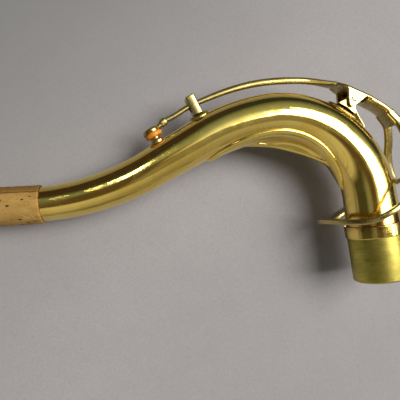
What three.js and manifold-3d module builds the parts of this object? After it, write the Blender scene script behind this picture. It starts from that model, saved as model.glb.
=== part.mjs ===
// Neck of a tenor saxophone, with its octave key, in millimetres and +Z up.
// The origin is the centre of the tenon's open end. The tube rises along +Z, bends towards -X and
// ends in the cork that the mouthpiece slides over. The plane y = 0 is the neck's plane of symmetry.
import * as THREE from "three";
import { mergeVertices } from "three/addons/utils/BufferGeometryUtils.js";
import Module from "manifold-3d";

const wasm = await Module();
wasm.setup();

// Clearances and cuts
const seatGap = 0.3; // between pieces that are soldered or glued face to face
const runningGap = 0.35; // between the key and what it swings past
const cutOverrun = 3;

// Centre line of the tube, from the tenon up
const riseLength = 41.4;
const bendRadius = 46.1;
const bendTurn = 90; // degrees, as all turns and angles here
const shoulderRadius = 91;
const shoulderTurn = 21.2;
const slopeLength = 27.2;
const returnRadius = 119.5;
const returnTurn = 28.2;
const endLength = 46;

// Tube
const tipRadius = 6.5; // outside, at the mouthpiece end
const taperShare = 0.0262; // growth of the radius along the centre line
const tubeWall = 0.7;
const tubeSides = 28;
const tubeSteps = 40;

// Tenon and its collar
const tenonRadius = 13.6;
const tenonLength = 21.6;
const tenonWall = 1.05;
const tenonChamfer = 0.4;
const collarRadius = 14.3;
const collarLength = 6.1;
const collarRounding = 0.5;
const lathedSides = 48;

// Cork
const corkLength = 51.4;
const corkRadius = 8.85;
const corkTipRadius = 8.7;
const corkSetback = 1.5; // bare brass in front of the cork
const corkChamfer = 0.5;
const corkSteps = 8;

// Brace under the bend
const braceStart = 48; // along the centre line
const braceEnd = 150;
const braceSheet = 1.2;
const braceHalfAngle = 48;
const braceTipShare = 0.07;
const braceSkewShare = 1.3; // moves the widest place towards the mouthpiece
const braceFullnessShare = 0.55; // blunter ends when smaller
const braceSteps = 24;
const keelStart = 66;
const keelEnd = 127;
const keelDepth = 4.4;
const keelHalfWidth = 1.5;
const keelRootHalfWidth = 3.2;
const keelTipShare = 0.08;
const keelCrestPower = 0.6; // below 1 gives the web flat faces
const keelFlarePower = 6; // higher keeps the flare nearer to the sheet
const keelEdgePower = 4; // higher gives the web's edge squarer shoulders
const keelSteps = 18;

// Octave vent and its pad
const pipStation = 165.2;
const pipRadius = 2.6;
const pipFootRadius = 4;
const pipFootHeight = 0.8;
const pipHeight = 2.3;
const pipBoreRadius = 1.5;
const pipSides = 24;
const padRadius = 4.2;
const padThickness = 2.6;
const padShoulder = 1.9; // height of the part of the pad that stands out of the cup
const padShoulderWidth = 0.6;
const padRounding = 0.5;
const padPress = 0.05; // clear space between the closed pad and the pip
const cupHeight = 2.6;
const cupWall = 0.5;
const cupCrown = 0.6; // width of each of the two slopes at the cup's edge
const cupCrownDrop = 0.2; // fall of the upper slope

// Guide of the key bar
const guideStation = 142.7;
const guideLength = 4.6; // along the tube
const guideHeight = 10.4; // above the tube
const guideProng = 1.3;
const guideFloor = 1.8;
const guideRounding = 1.1;
const prongSteps = 4;
const footSheet = 0.8;
const footLength = 8;
const footHalfAngle = 28;
const footTipShare = 0.5;
const footSteps = 8;

// Pivot
const pivotStation = 80;
const pivotHeight = 6; // above the tube
const barrelRadius = 2.3;
const barrelLength = 11;
const postFootLength = 8;
const plateLength = 14;
const plateHalfAngle = 30;
const screwRadius = 1.1;
const screwHeadRadius = 2;
const screwHeadHeight = 0.9;
const screwSlotWidth = 0.5;
const screwSlotDepth = 0.4;
const smallSides = 20;
const postTopShare = 0.8; // half width of the post under the barrel, over the barrel's radius

// Saddle of the key: a plate over the barrel with an ear on each side of it
const saddleThickness = 2.2;
const saddleCrown = 1.1; // how much lower the plate's top is at its sides
const saddleAngle = 31.5; // fall of the plate towards the fork
const saddleAhead = 8.2; // plate's reach from the pivot towards the fork, along the plate
const saddleBehind = 10; // the same towards the bar
const saddleRise = 4.5; // plate's middle above the pivot, square to the plate
const saddleTailHalfWidth = 4.6; // of the plate, where the bar joins it
const earThickness = 1.4;
const earReach = 4; // how far the ear goes past the pivot, square to the plate
const earAhead = 5.6; // the ear's upper corners, along the plate
const earBehind = 5;
const earNoseRadius = 1.8;
const earNoseFrom = 215;
const earNoseTo = 325;
const earNoseSteps = 6;
const crownSteps = 10;
const crownPower = 3;

// Bar from the saddle to the pad cup
const barHalfWidth = 2;
const barHalfDepth = 1.3;
const barRise = 8.6;
const barPower = 3; // of the bar's rounded section, squarer when higher
const barSides = 10;
const barSteps = 28;
const barFlareShare = 0.85; // part of the bar's length before it widens towards the saddle
const barFlarePower = 1.3;
// Way along from cup to saddle, and rise above the straight line between them
const barPathShares = [
  [0, 0],
  [0.03, 0.17],
  [0.1, 0.39],
  [0.16, 0.61],
  [0.24, 0.8],
  [0.33, 0.96],
  [0.41, 1.07],
  [0.56, 1.11],
  [0.71, 0.93],
  [0.85, 0.59],
  [1, 0],
];
const socketWall = 0.6;
const socketLength = 3.2;
const socketSteps = 3;

// Fork and ring
const armHalfWidth = 1.5;
const armHalfDepth = 2.1;
const armSides = 12;
const armSteps = 22;
const trunkHalfWidth = 6.6;
const trunkPower = 5;
const ringRadius = 25.3; // plan radius of the ring's middle
const ringHalfHeight = 1.25;
const ringHalfWidth = 1.4;
const ringHeight = 29.1;
const ringSlopeShare = 0.47; // rise towards the arms
const ringHeelSlopeShare = 0.24; // rise towards the mouthpiece side
const ringTilt = 3.6; // the ring's side at -Y is higher by this angle
const ringKnee = -12;
const ringKneeSoftness = 4;
const ringSteps = 48;
const ringSides = 10;
const armLandingAngle = 31;
// Reach outside the pivot, drop below it and half span, as shares of the same at the ring
const armPathShares = [
  [0.7, 0.19, 0.34],
  [0.85, 0.34, 0.41],
  [0.89, 0.48, 0.58],
  [0.89, 0.67, 0.8],
  [0.92, 0.84, 0.93],
  [1, 1, 1],
];

// Flat spring between the saddle and the tube
const springThickness = 0.45;
const springWidth = 4.4;
const springLanding = 69.5; // station where it presses on the tube
const springSteps = 16;
const springSides = 8;
const springPower = 8;
const springTailShare = 1.4; // the strip past its screw, over the screw head's radius
const springSwingShare = 2.4; // room beside the barrel, over the strip's thickness
const springScrewRadius = 0.8;
const springScrewHead = 1.5;
const springScrewHeadHeight = 0.7;
const springScrewRounding = 0.25;

const radians = THREE.MathUtils.degToRad;

const runs = [
  { length: riseLength, turn: 0 },
  { length: bendRadius * radians(bendTurn), turn: radians(bendTurn) },
  { length: shoulderRadius * radians(shoulderTurn), turn: radians(shoulderTurn) },
  { length: slopeLength, turn: 0 },
  { length: returnRadius * radians(returnTurn), turn: -radians(returnTurn) },
  { length: endLength, turn: 0 },
];
const lineLength = runs.reduce((sum, run) => sum + run.length, 0);

// Place and heading of the centre line at a station: the heading is the turn away from +Z to -X.
function stationAt(station) {
  let left = THREE.MathUtils.clamp(station, 0, lineLength);
  const at = { x: 0, z: 0, heading: 0 };
  for (const { length, turn } of runs) {
    const step = Math.min(left, length);
    const bend = turn / length;
    const next = at.heading + bend * step;
    if (turn) {
      at.x += (Math.cos(next) - Math.cos(at.heading)) / bend;
      at.z += (Math.sin(next) - Math.sin(at.heading)) / bend;
    } else {
      at.x -= Math.sin(next) * step;
      at.z += Math.cos(next) * step;
    }
    at.heading = next;
    left -= step;
  }
  return at;
}

// A point beside the centre line: lift is towards the outside of the bend, side is along Y.
function pointAt(station, lift, side = 0) {
  const { x, z, heading } = stationAt(station);
  return new THREE.Vector3(x + Math.cos(heading) * lift, side, z + Math.sin(heading) * lift);
}

function outerRadius(station) {
  return tipRadius + taperShare * (lineLength - station);
}

// The frame of something seated on the tube: its X runs back down the tube, its Z away from it.
function seatMatrix(station, lift) {
  const away = pointAt(station, 1).sub(pointAt(station, 0));
  const across = new THREE.Vector3(0, 1, 0);
  const along = new THREE.Vector3().crossVectors(across, away);
  return new THREE.Matrix4().makeBasis(along, across, away).setPosition(pointAt(station, lift));
}

function signedVolume(geometry) {
  const place = geometry.attributes.position;
  const corner = (i) => new THREE.Vector3().fromBufferAttribute(place, geometry.index.getX(i));
  let sum = 0;
  for (let i = 0; i < geometry.index.count; i += 3)
    sum += corner(i).dot(corner(i + 1).cross(corner(i + 2)));
  return sum / 6;
}

// Only places and faces are kept, shared corners become one, and the faces are turned outwards.
function closed(geometry) {
  geometry.deleteAttribute("normal");
  geometry.deleteAttribute("uv");
  const merged = mergeVertices(geometry);
  if (signedVolume(merged) < 0) merged.index.array.reverse();
  return merged;
}

function toSolid(geometry) {
  const { attributes, index } = closed(geometry);
  return new wasm.Manifold(
    new wasm.Mesh({
      numProp: 3,
      vertProperties: new Float32Array(attributes.position.array),
      triVerts: new Uint32Array(index.array),
    }),
  );
}

function fromSolid(solid) {
  const { vertProperties, triVerts } = solid.getMesh();
  const geometry = new THREE.BufferGeometry();
  geometry.setAttribute("position", new THREE.BufferAttribute(vertProperties, 3));
  geometry.setIndex(new THREE.BufferAttribute(triVerts, 1));
  return geometry;
}

const cut = (geometry, ...tools) =>
  fromSolid(tools.reduce((solid, tool) => solid.subtract(toSolid(tool)), toSolid(geometry)));
const join = (geometry, ...others) =>
  fromSolid(others.reduce((solid, other) => solid.add(toSolid(other)), toSolid(geometry)));

// Skin through sections of equal, even point counts, each an outline that folds across its middle.
// A looped loft joins the last section to the first, and an open one has both ends closed.
function loft(sections, looped = false) {
  const count = sections[0].length;
  const faces = [];
  const corner = (row, column) => (row % sections.length) * count + (column % count);
  const rows = looped ? sections.length : sections.length - 1;
  for (let row = 0; row < rows; row++)
    for (let column = 0; column < count; column++) {
      const [a, b] = [corner(row, column), corner(row, column + 1)];
      const [c, d] = [corner(row + 1, column + 1), corner(row + 1, column)];
      faces.push(a, b, c, a, c, d);
    }
  if (!looped)
    for (let i = 0; i < count / 2 - 1; i++) {
      const [a, b, c, d] = [i, i + 1, count - 2 - i, count - 1 - i];
      const last = (sections.length - 1) * count;
      faces.push(a, c, b, a, d, c);
      faces.push(last + a, last + b, last + c, last + a, last + c, last + d);
    }
  const geometry = new THREE.BufferGeometry().setFromPoints(sections.flat());
  geometry.setIndex(faces);
  return closed(geometry);
}

const steps = (count) => Array.from({ length: count + 1 }, (_, i) => i / count);
const between = THREE.MathUtils.lerp;

// A sleeve round the centre line: the wall's outline runs out along one radius and back along the other.
function sleeve(from, to, outer, inner, sides, stepCount) {
  const wall = [
    ...steps(stepCount).map((share) => [between(from, to, share), outer]),
    ...steps(stepCount).map((share) => [between(to, from, share), inner]),
  ];
  const sections = wall.map(([station, radius]) =>
    steps(sides)
      .slice(1)
      .map((share) => {
        const turn = share * 2 * Math.PI;
        const r = radius(station);
        return pointAt(station, r * Math.cos(turn), r * Math.sin(turn));
      }),
  );
  return loft(sections, true);
}

// The space that the tube fills with its clearance, used to fit feet and posts to it.
function tubeSpace(from, to) {
  const sections = steps(tubeSteps).map((share) => {
    const station = between(from, to, share);
    const r = outerRadius(station) + seatGap;
    return steps(tubeSides * 2)
      .slice(1)
      .map((part) => {
        const turn = part * 2 * Math.PI;
        return pointAt(station, r * Math.cos(turn), r * Math.sin(turn));
      });
  });
  return loft(sections);
}

const roundSwell = (share) => Math.sqrt(1 - (2 * share - 1) ** 2);

// A sheet that hugs the tube about the direction facing: 0 is the outside of the bend, 180 the inside.
// Its spread at each station is the tip's share of the half angle, swelling to the whole of it.
function saddleSheet({ from, to, halfAngle, sheet, facing, tipShare, stepCount, swell = roundSwell }) {
  const arcParts = steps(footSteps);
  const sections = steps(stepCount).map((share) => {
    const station = between(from, to, share);
    const spread = radians(halfAngle) * (tipShare + (1 - tipShare) * swell(share));
    const point = (part, extra) => {
      const turn = radians(facing) + spread * (2 * part - 1);
      const r = outerRadius(station) + seatGap + extra;
      return pointAt(station, r * Math.cos(turn), r * Math.sin(turn));
    };
    return [
      ...arcParts.map((part) => point(part, sheet)),
      ...arcParts.map((part) => point(1 - part, 0)),
    ];
  });
  return loft(sections);
}

// Rounded-box outline with half sizes a and b: a superellipse, squarer with a higher power.
function outline(a, b, sides, power = barPower) {
  return steps(sides)
    .slice(1)
    .map((share) => {
      const turn = (share - 0.5 / sides) * 2 * Math.PI;
      const [c, s] = [Math.cos(turn), Math.sin(turn)];
      return [
        a * Math.sign(c) * Math.abs(c) ** (2 / power),
        b * Math.sign(s) * Math.abs(s) ** (2 / power),
      ];
    });
}

// A section carried along a path. Its first axis stays as near to the given axis as the path lets it.
function carried(path, sectionAt, axis, looped = false) {
  const last = path.length - 1;
  return path.map((point, i) => {
    const before = path[looped ? (i + last) % path.length : Math.max(i - 1, 0)];
    const after = path[looped ? (i + 1) % path.length : Math.min(i + 1, last)];
    const ahead = after.clone().sub(before).normalize();
    const first = axis.clone().addScaledVector(ahead, -axis.dot(ahead)).normalize();
    const second = new THREE.Vector3().crossVectors(ahead, first);
    return sectionAt(i / last).map(([a, b]) =>
      point.clone().addScaledVector(first, a).addScaledVector(second, b),
    );
  });
}

const sweep = (path, sectionAt, axis, looped = false) =>
  loft(carried(path, sectionAt, axis, looped), looped);

// A ring turned round an axis along Z: the outline is closed [radius, height] pairs, off the axis.
function turnedRing(profile, sides) {
  const sections = steps(sides)
    .slice(1)
    .map((share) => {
      const turn = 2 * Math.PI * share;
      return profile.map(
        ([radius, height]) => new THREE.Vector3(radius * Math.cos(turn), radius * Math.sin(turn), height),
      );
    });
  return loft(sections, true);
}

// A turned piece with material on its axis, from the same kind of outline.
function turned(profile, sides) {
  const points = [...profile, profile[0]].map(([radius, height]) => new THREE.Vector2(radius, height));
  const geometry = new THREE.LatheGeometry(points, sides);
  geometry.rotateX(Math.PI / 2);
  return closed(geometry);
}

function rodAlongY(radius, length, sides, at) {
  const geometry = new THREE.CylinderGeometry(radius, radius, length, sides);
  geometry.translate(at.x, at.y, at.z);
  return geometry;
}

// A plate whose outline lies in the plane of the neck, as thick as given along Y.
function plateInPlane(corners, thickness, middle) {
  const shape = new THREE.Shape(corners.map(({ x, z }) => new THREE.Vector2(x, z)));
  const geometry = new THREE.ExtrudeGeometry(shape, { depth: thickness, bevelEnabled: false });
  geometry.rotateX(Math.PI / 2);
  geometry.translate(0, middle + thickness / 2, 0);
  return geometry;
}

// Finishes
const finishes = {
  lacquer: { color: 0xd9a441, roughness: 0.16, metalness: 1 },
  rawBrass: { color: 0x9c8752, roughness: 0.4, metalness: 1 },
  cork: { color: 0xa58041, roughness: 0.85, metalness: 0 },
  pad: { color: 0xc8781e, roughness: 0.6, metalness: 0 },
  spring: { color: 0xd8b24a, roughness: 0.25, metalness: 1 },
  screw: { color: 0xc9c2ae, roughness: 0.3, metalness: 1 },
};

const neck = new THREE.Group();
const octaveKey = new THREE.Group();

function addPiece(group, name, geometry, finish) {
  const mesh = new THREE.Mesh(geometry, new THREE.MeshStandardMaterial(finishes[finish]));
  mesh.name = name;
  group.add(mesh);
}

// Tube, tenon and collar
const lathedTurn = Math.PI / lathedSides;
const tubeFoot = tenonLength;
const innerRadius = (station) => outerRadius(station) - tubeWall;
const pipSurface = outerRadius(pipStation);
const ventLength = pipSurface + cutOverrun;
const ventDrill = new THREE.CylinderGeometry(pipBoreRadius, pipBoreRadius, ventLength, pipSides);
ventDrill.rotateX(Math.PI / 2);
ventDrill.applyMatrix4(seatMatrix(pipStation, pipSurface));
addPiece(
  neck,
  "neck_tube",
  cut(sleeve(tubeFoot, lineLength, outerRadius, innerRadius, tubeSides, tubeSteps), ventDrill),
  "lacquer",
);

const tenonBore = tenonRadius - tenonWall;
addPiece(
  neck,
  "tenon_sleeve",
  turnedRing(
    [
      [tenonBore, 0],
      [tenonRadius - tenonChamfer, 0],
      [tenonRadius, tenonChamfer],
      [tenonRadius, tenonLength],
      [tenonBore, tenonLength],
    ],
    lathedSides,
  ),
  "rawBrass",
);

const collarBore = outerRadius(tubeFoot) / Math.cos(lathedTurn) + seatGap;
const collarTop = tenonLength + collarLength;
addPiece(
  neck,
  "tenon_collar",
  turnedRing(
    [
      [collarBore, tenonLength],
      [collarRadius - collarRounding / 2, tenonLength],
      [collarRadius, tenonLength + collarRounding],
      [collarRadius, collarTop - collarRounding],
      [collarRadius - collarRounding, collarTop],
      [collarBore, collarTop],
    ],
    lathedSides,
  ),
  "lacquer",
);

// Cork: a parallel sleeve with its far edge rounded off
const corkFar = lineLength - corkSetback;
const corkNear = corkFar - corkLength;
function corkOuter(station) {
  const share = (station - corkNear) / corkLength;
  const edge = Math.max(0, 1 - Math.min(station - corkNear, corkFar - station) / corkChamfer);
  return between(corkRadius, corkTipRadius, share) - corkChamfer * edge * edge;
}
addPiece(
  neck,
  "mouthpiece_cork",
  sleeve(corkNear, corkFar, corkOuter, (station) => outerRadius(station) + seatGap / 2, tubeSides, corkSteps),
  "cork",
);

// Brace: a leaf of sheet under the bend, with a keel along it
addPiece(
  neck,
  "brace_plate",
  saddleSheet({
    from: braceStart,
    to: braceEnd,
    halfAngle: braceHalfAngle,
    sheet: braceSheet,
    facing: 180,
    tipShare: braceTipShare,
    stepCount: braceSteps,
    swell: (share) => Math.max(0, Math.sin(Math.PI * share ** braceSkewShare)) ** braceFullnessShare,
  }),
  "lacquer",
);

// Keel: a web under the brace whose edge is nearly a chord of the bend, flared where it meets the sheet
function keelSection(share) {
  const station = between(keelStart, keelEnd, share);
  const swell = keelTipShare + (1 - keelTipShare) * Math.sin(Math.PI * share);
  const root = outerRadius(station) + 2 * seatGap + braceSheet;
  const depth = keelDepth * swell;
  const parts = steps(footSteps);
  const crest = parts.map((part) => {
    const side = 2 * part - 1;
    const flare = between(keelHalfWidth, keelRootHalfWidth, Math.abs(side) ** keelFlarePower);
    const half = Math.sign(side) * Math.abs(side) ** keelCrestPower * flare;
    return pointAt(station, -(Math.sqrt(root ** 2 - half ** 2) + depth * (1 - side ** keelEdgePower)), half);
  });
  const foot = parts.slice(1, -1).map((part) => {
    const half = keelRootHalfWidth * (1 - 2 * part);
    return pointAt(station, -Math.sqrt(root ** 2 - half ** 2), half);
  });
  return [...crest, ...foot];
}
addPiece(neck, "brace_keel", loft(steps(keelSteps).map(keelSection)), "lacquer");

// Octave vent: a turned pip whose foot is fitted to the tube
const pipTop = pipSurface + pipHeight;
const pipSeat = pipSurface - pipFootRadius / 2;
const pip = turnedRing(
  [
    [pipBoreRadius, pipSeat - pipSurface],
    [pipFootRadius, pipSeat - pipSurface],
    [pipFootRadius, pipFootHeight / 2],
    [pipRadius + pipFootHeight / 2, pipFootHeight],
    [pipRadius, pipFootHeight + pipFootHeight / 2],
    [pipRadius, pipHeight],
    [pipBoreRadius, pipHeight],
  ],
  pipSides,
).applyMatrix4(seatMatrix(pipStation, pipSurface));
addPiece(
  neck,
  "octave_pip",
  cut(pip, tubeSpace(pipStation - 2 * pipFootRadius, pipStation + 2 * pipFootRadius)),
  "lacquer",
);

// Guide: a foot on the tube and a fork whose prongs stand on both sides of the bar
const guideRadius = outerRadius(guideStation);
addPiece(
  neck,
  "guide_foot",
  saddleSheet({
    from: guideStation - footLength / 2,
    to: guideStation + footLength / 2,
    halfAngle: footHalfAngle,
    sheet: footSheet,
    facing: 0,
    tipShare: footTipShare,
    stepCount: footSteps,
  }),
  "lacquer",
);

const slotHalfWidth = barHalfWidth + runningGap;
const prongOuter = slotHalfWidth + guideProng;
function guideForkGeometry() {
  const base = guideRadius + footSheet + 2 * seatGap;
  const top = guideRadius + guideHeight;
  const arc = (side, from, to) =>
    steps(prongSteps).map((share) => {
      const turn = radians(between(from, to, share));
      const radius = guideProng / 2;
      const middle = side * (slotHalfWidth + radius);
      return [middle + radius * Math.cos(turn), top - radius + radius * Math.sin(turn)];
    });
  const points = [
    [prongOuter, base],
    ...arc(1, 0, 180),
    [slotHalfWidth, base + guideFloor + guideRounding],
    [slotHalfWidth - guideRounding, base + guideFloor],
    [guideRounding - slotHalfWidth, base + guideFloor],
    [-slotHalfWidth, base + guideFloor + guideRounding],
    ...arc(-1, 0, 180),
    [-prongOuter, base],
  ];
  const shape = new THREE.Shape(points.map(([side, lift]) => new THREE.Vector2(side, lift)));
  const geometry = new THREE.ExtrudeGeometry(shape, { depth: guideLength, bevelEnabled: false });
  geometry.translate(0, 0, -guideLength / 2);
  geometry.applyMatrix4(
    new THREE.Matrix4().makeBasis(
      new THREE.Vector3(0, 1, 0),
      new THREE.Vector3(0, 0, 1),
      new THREE.Vector3(1, 0, 0),
    ),
  );
  return closed(geometry).applyMatrix4(seatMatrix(guideStation, 0));
}
addPiece(neck, "guide_fork", guideForkGeometry(), "lacquer");

// Pivot: a sheet on the tube, a post with a barrel, and the screw through it
const pivotLift = outerRadius(pivotStation) + pivotHeight;
const pivot = pointAt(pivotStation, pivotLift);
addPiece(
  neck,
  "pivot_plate",
  saddleSheet({
    from: pivotStation - plateLength / 2,
    to: pivotStation + plateLength / 2,
    halfAngle: plateHalfAngle,
    sheet: footSheet,
    facing: 0,
    tipShare: footTipShare,
    stepCount: footSteps,
  }),
  "lacquer",
);

function pivotPostGeometry() {
  const base = outerRadius(pivotStation) + footSheet + 2 * seatGap;
  const barrel = rodAlongY(barrelRadius, barrelLength, smallSides, pivot);
  const reach = postFootLength / 2;
  const topOf = (side) => {
    const along = pointAt(pivotStation + side * barrelRadius * postTopShare, 0);
    return along.sub(pointAt(pivotStation, 0)).add(pivot);
  };
  const webCorners = [
    pointAt(pivotStation - reach, base),
    pointAt(pivotStation, base),
    pointAt(pivotStation + reach, base),
    topOf(1),
    topOf(-1),
  ];
  const web = plateInPlane(webCorners, barrelLength, 0);
  const drill = rodAlongY(screwRadius + seatGap, barrelLength + cutOverrun, smallSides, pivot);
  const under = tubeSpace(pivotStation - plateLength, pivotStation + plateLength);
  return cut(join(barrel, web), drill, under);
}
addPiece(neck, "pivot_post", pivotPostGeometry(), "lacquer");

const earInner = barrelLength / 2 + runningGap;
const earOuter = earInner + earThickness;
function pivotScrewGeometry() {
  const shankHalf = earOuter + seatGap;
  const headFace = shankHalf + screwHeadHeight;
  const shankAt = pivot.clone().setY((headFace - shankHalf) / 2);
  const shank = rodAlongY(screwRadius, headFace + shankHalf, smallSides, shankAt);
  const headAt = pivot.clone().setY(headFace - screwHeadHeight / 2);
  const head = rodAlongY(screwHeadRadius, screwHeadHeight, smallSides, headAt);
  const slot = new THREE.BoxGeometry(2 * screwHeadRadius + cutOverrun, 2 * screwSlotDepth, screwSlotWidth);
  slot.translate(pivot.x, headFace, pivot.z);
  return cut(join(shank, head), slot);
}
addPiece(neck, "pivot_screw", pivotScrewGeometry(), "screw");

// Saddle: its plate falls towards the fork, and along is measured from the pivot to the fork
const fall = radians(saddleAngle);
function saddlePoint(along, away, side = 0) {
  return new THREE.Vector3(
    pivot.x + along * Math.cos(fall) + away * Math.sin(fall),
    side,
    pivot.z - along * Math.sin(fall) + away * Math.cos(fall),
  );
}
const saddleTop = saddleRise + saddleThickness / 2;
const saddleUnder = saddleRise - saddleThickness / 2;

// A crowned plate: flat below, rounded down to its sides above, and narrower towards the bar
function crownedPlate() {
  const parts = steps(crownSteps);
  const section = (along, half) => [
    ...parts.map((part) => {
      const side = 2 * part - 1;
      const drop = saddleCrown * Math.abs(side) ** crownPower;
      return saddlePoint(along, saddleTop - drop, side * half);
    }),
    ...parts.map((part) => saddlePoint(along, saddleUnder, (1 - 2 * part) * half)),
  ];
  return loft([
    section(-saddleBehind, saddleTailHalfWidth),
    section(-earBehind, earOuter),
    section(saddleAhead, earOuter),
  ]);
}

function saddleGeometry() {
  const plate = crownedPlate();
  const nose = steps(earNoseSteps).map((share) => {
    const turn = radians(between(earNoseFrom, earNoseTo, share));
    return saddlePoint(
      earNoseRadius * Math.cos(turn),
      earNoseRadius - earReach + earNoseRadius * Math.sin(turn),
    );
  });
  const root = saddleUnder + (saddleThickness - saddleCrown) / 2;
  const earCorners = [...nose, saddlePoint(earAhead, root), saddlePoint(-earBehind, root)];
  const earMiddle = (earInner + earOuter) / 2;
  const ears = [-1, 1].map((side) => plateInPlane(earCorners, earThickness, side * earMiddle));
  const drill = rodAlongY(screwRadius + runningGap, 2 * earOuter + cutOverrun, smallSides, pivot);
  return { body: join(plate, ...ears), drill };
}

// Flat spring: under the saddle's plate, round beside the barrel and down to the tube
const springClamp = saddleUnder - seatGap - springThickness / 2;
const springScrewAlong = (barrelRadius + saddleAhead) / 2 + springThickness;
const springHalf = springThickness / 2;
const springPath = new THREE.CatmullRomCurve3(
  [
    saddlePoint(springScrewAlong + springScrewHead * springTailShare, springClamp),
    saddlePoint(springScrewAlong, springClamp),
    saddlePoint(springScrewAlong - springScrewHead, springClamp - springThickness),
    saddlePoint(barrelRadius + springThickness * springSwingShare, 0),
    pointAt(springLanding, outerRadius(springLanding) + seatGap + springHalf),
  ],
  false,
  "centripetal",
);
const springScrewDrill = new THREE.CylinderGeometry(
  springScrewRadius + seatGap,
  springScrewRadius + seatGap,
  saddleThickness,
  smallSides,
);

// The frame of the spring's screw: its Z runs up through the spring and into the saddle's plate
function springScrewMatrix(away) {
  const up = saddlePoint(0, 1).sub(saddlePoint(0, 0));
  const across = new THREE.Vector3(0, 1, 0);
  const along = new THREE.Vector3().crossVectors(across, up);
  return new THREE.Matrix4().makeBasis(along, across, up).setPosition(saddlePoint(springScrewAlong, away));
}
springScrewDrill.rotateX(Math.PI / 2);
springScrewDrill.applyMatrix4(springScrewMatrix(springClamp));

const { body: saddleBody, drill: saddleDrill } = saddleGeometry();
addPiece(octaveKey, "key_saddle", cut(saddleBody, saddleDrill, springScrewDrill.clone()), "lacquer");

const springStrip = sweep(
  springPath.getSpacedPoints(springSteps),
  () => outline(springWidth / 2, springHalf, springSides, springPower),
  new THREE.Vector3(0, 1, 0),
);
addPiece(octaveKey, "flat_spring", cut(springStrip, springScrewDrill.clone()), "spring");

const springScrewFoot = -springHalf - 2 * seatGap;
addPiece(
  octaveKey,
  "spring_screw",
  turned(
    [
      [0, springScrewFoot - springScrewHeadHeight],
      [springScrewHead - springScrewRounding, springScrewFoot - springScrewHeadHeight],
      [springScrewHead, springScrewFoot - springScrewHeadHeight / 2],
      [springScrewHead, springScrewFoot],
      [springScrewRadius, springScrewFoot],
      [springScrewRadius, saddleThickness / 2 - seatGap],
      [0, saddleThickness / 2 - seatGap],
    ],
    smallSides,
  ).applyMatrix4(springScrewMatrix(springClamp)),
  "screw",
);

// Pad and cup above the pip: the pad's upper part sits in the cup, and its lower part stands out of it
const padLift = pipTop + padPress;
const padStem = padRadius - padShoulderWidth;
addPiece(
  octaveKey,
  "octave_pad",
  turned(
    [
      [0, 0],
      [padRadius - padRounding, 0],
      [padRadius, padRounding],
      [padRadius, padShoulder],
      [padStem, padShoulder],
      [padStem, padThickness],
      [0, padThickness],
    ],
    pipSides,
  ).applyMatrix4(seatMatrix(pipStation, padLift)),
  "pad",
);

const cupSeat = padThickness + seatGap;
const cupLip = padShoulder + seatGap;
const cupBore = padStem + seatGap;
const cupRadius = cupBore + cupWall;
const cupTop = cupLip + cupHeight;
addPiece(
  octaveKey,
  "pad_cup",
  turned(
    [
      [0, cupSeat],
      [cupBore, cupSeat],
      [cupBore, cupLip],
      [cupRadius, cupLip],
      [cupRadius, cupTop - cupCrown],
      [cupRadius - cupCrown, cupTop - cupCrownDrop],
      [cupRadius - 2 * cupCrown, cupTop],
      [0, cupTop],
    ],
    pipSides,
  ).applyMatrix4(seatMatrix(pipStation, padLift)),
  "lacquer",
);

// Bar: it springs from the cup, crests over the shoulder and runs into the saddle
const barFoot = pointAt(pipStation - cupRadius + seatGap, padLift + cupTop - barHalfDepth);
const barHead = saddlePoint(-saddleBehind, saddleRise);
const barCurve = new THREE.CatmullRomCurve3(
  barPathShares.map(([along, rise]) =>
    barFoot.clone().lerp(barHead, along).add(new THREE.Vector3(0, 0, barRise * rise)),
  ),
);
const barPath = barCurve.getSpacedPoints(barSteps);
// The saddle's plate with clearance at both ends, taller and wider, to cut the bar and the fork to it
const saddleRoom = plateInPlane(
  [
    saddlePoint(-saddleBehind - seatGap, saddleUnder - cutOverrun),
    saddlePoint(saddleAhead + seatGap, saddleUnder - cutOverrun),
    saddlePoint(saddleAhead + seatGap, saddleTop + cutOverrun),
    saddlePoint(-saddleBehind - seatGap, saddleTop + cutOverrun),
  ],
  2 * (earOuter + cutOverrun),
  0,
);
const cupRoom = turned(
  [
    [0, -cutOverrun],
    [cupRadius + seatGap, -cutOverrun],
    [cupRadius + seatGap, cupTop + seatGap],
    [0, cupTop + seatGap],
  ],
  pipSides,
).applyMatrix4(seatMatrix(pipStation, padLift));
const acrossNeck = new THREE.Vector3(0, 1, 0);

// Outline of the bar at a share of its length: it widens to meet the saddle's plate.
function barOutline(share) {
  const past = Math.max(0, share - barFlareShare) / (1 - barFlareShare);
  const half = between(barHalfWidth, saddleTailHalfWidth, past ** barFlarePower);
  return outline(half, barHalfDepth, barSides);
}
const barBody = sweep(barPath, barOutline, acrossNeck);
addPiece(octaveKey, "key_bar", cut(barBody, saddleRoom, cupRoom), "lacquer");

// Socket where the bar meets the cup: a short sleeve round the bar's end
function socketGeometry() {
  const from = 2 * seatGap + socketWall;
  const path = steps(socketSteps).map((share) =>
    barCurve.getPointAt((from + socketLength * share) / barCurve.getLength()),
  );
  const room = seatGap / 2;
  const inside = carried(path, () => outline(barHalfWidth + room, barHalfDepth + room, barSides), acrossNeck);
  const outside = carried(
    path,
    () => outline(barHalfWidth + room + socketWall, barHalfDepth + room + socketWall, barSides),
    acrossNeck,
  );
  return loft([...outside, ...inside.reverse()], true);
}
addPiece(octaveKey, "bar_socket", socketGeometry(), "lacquer");

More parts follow.
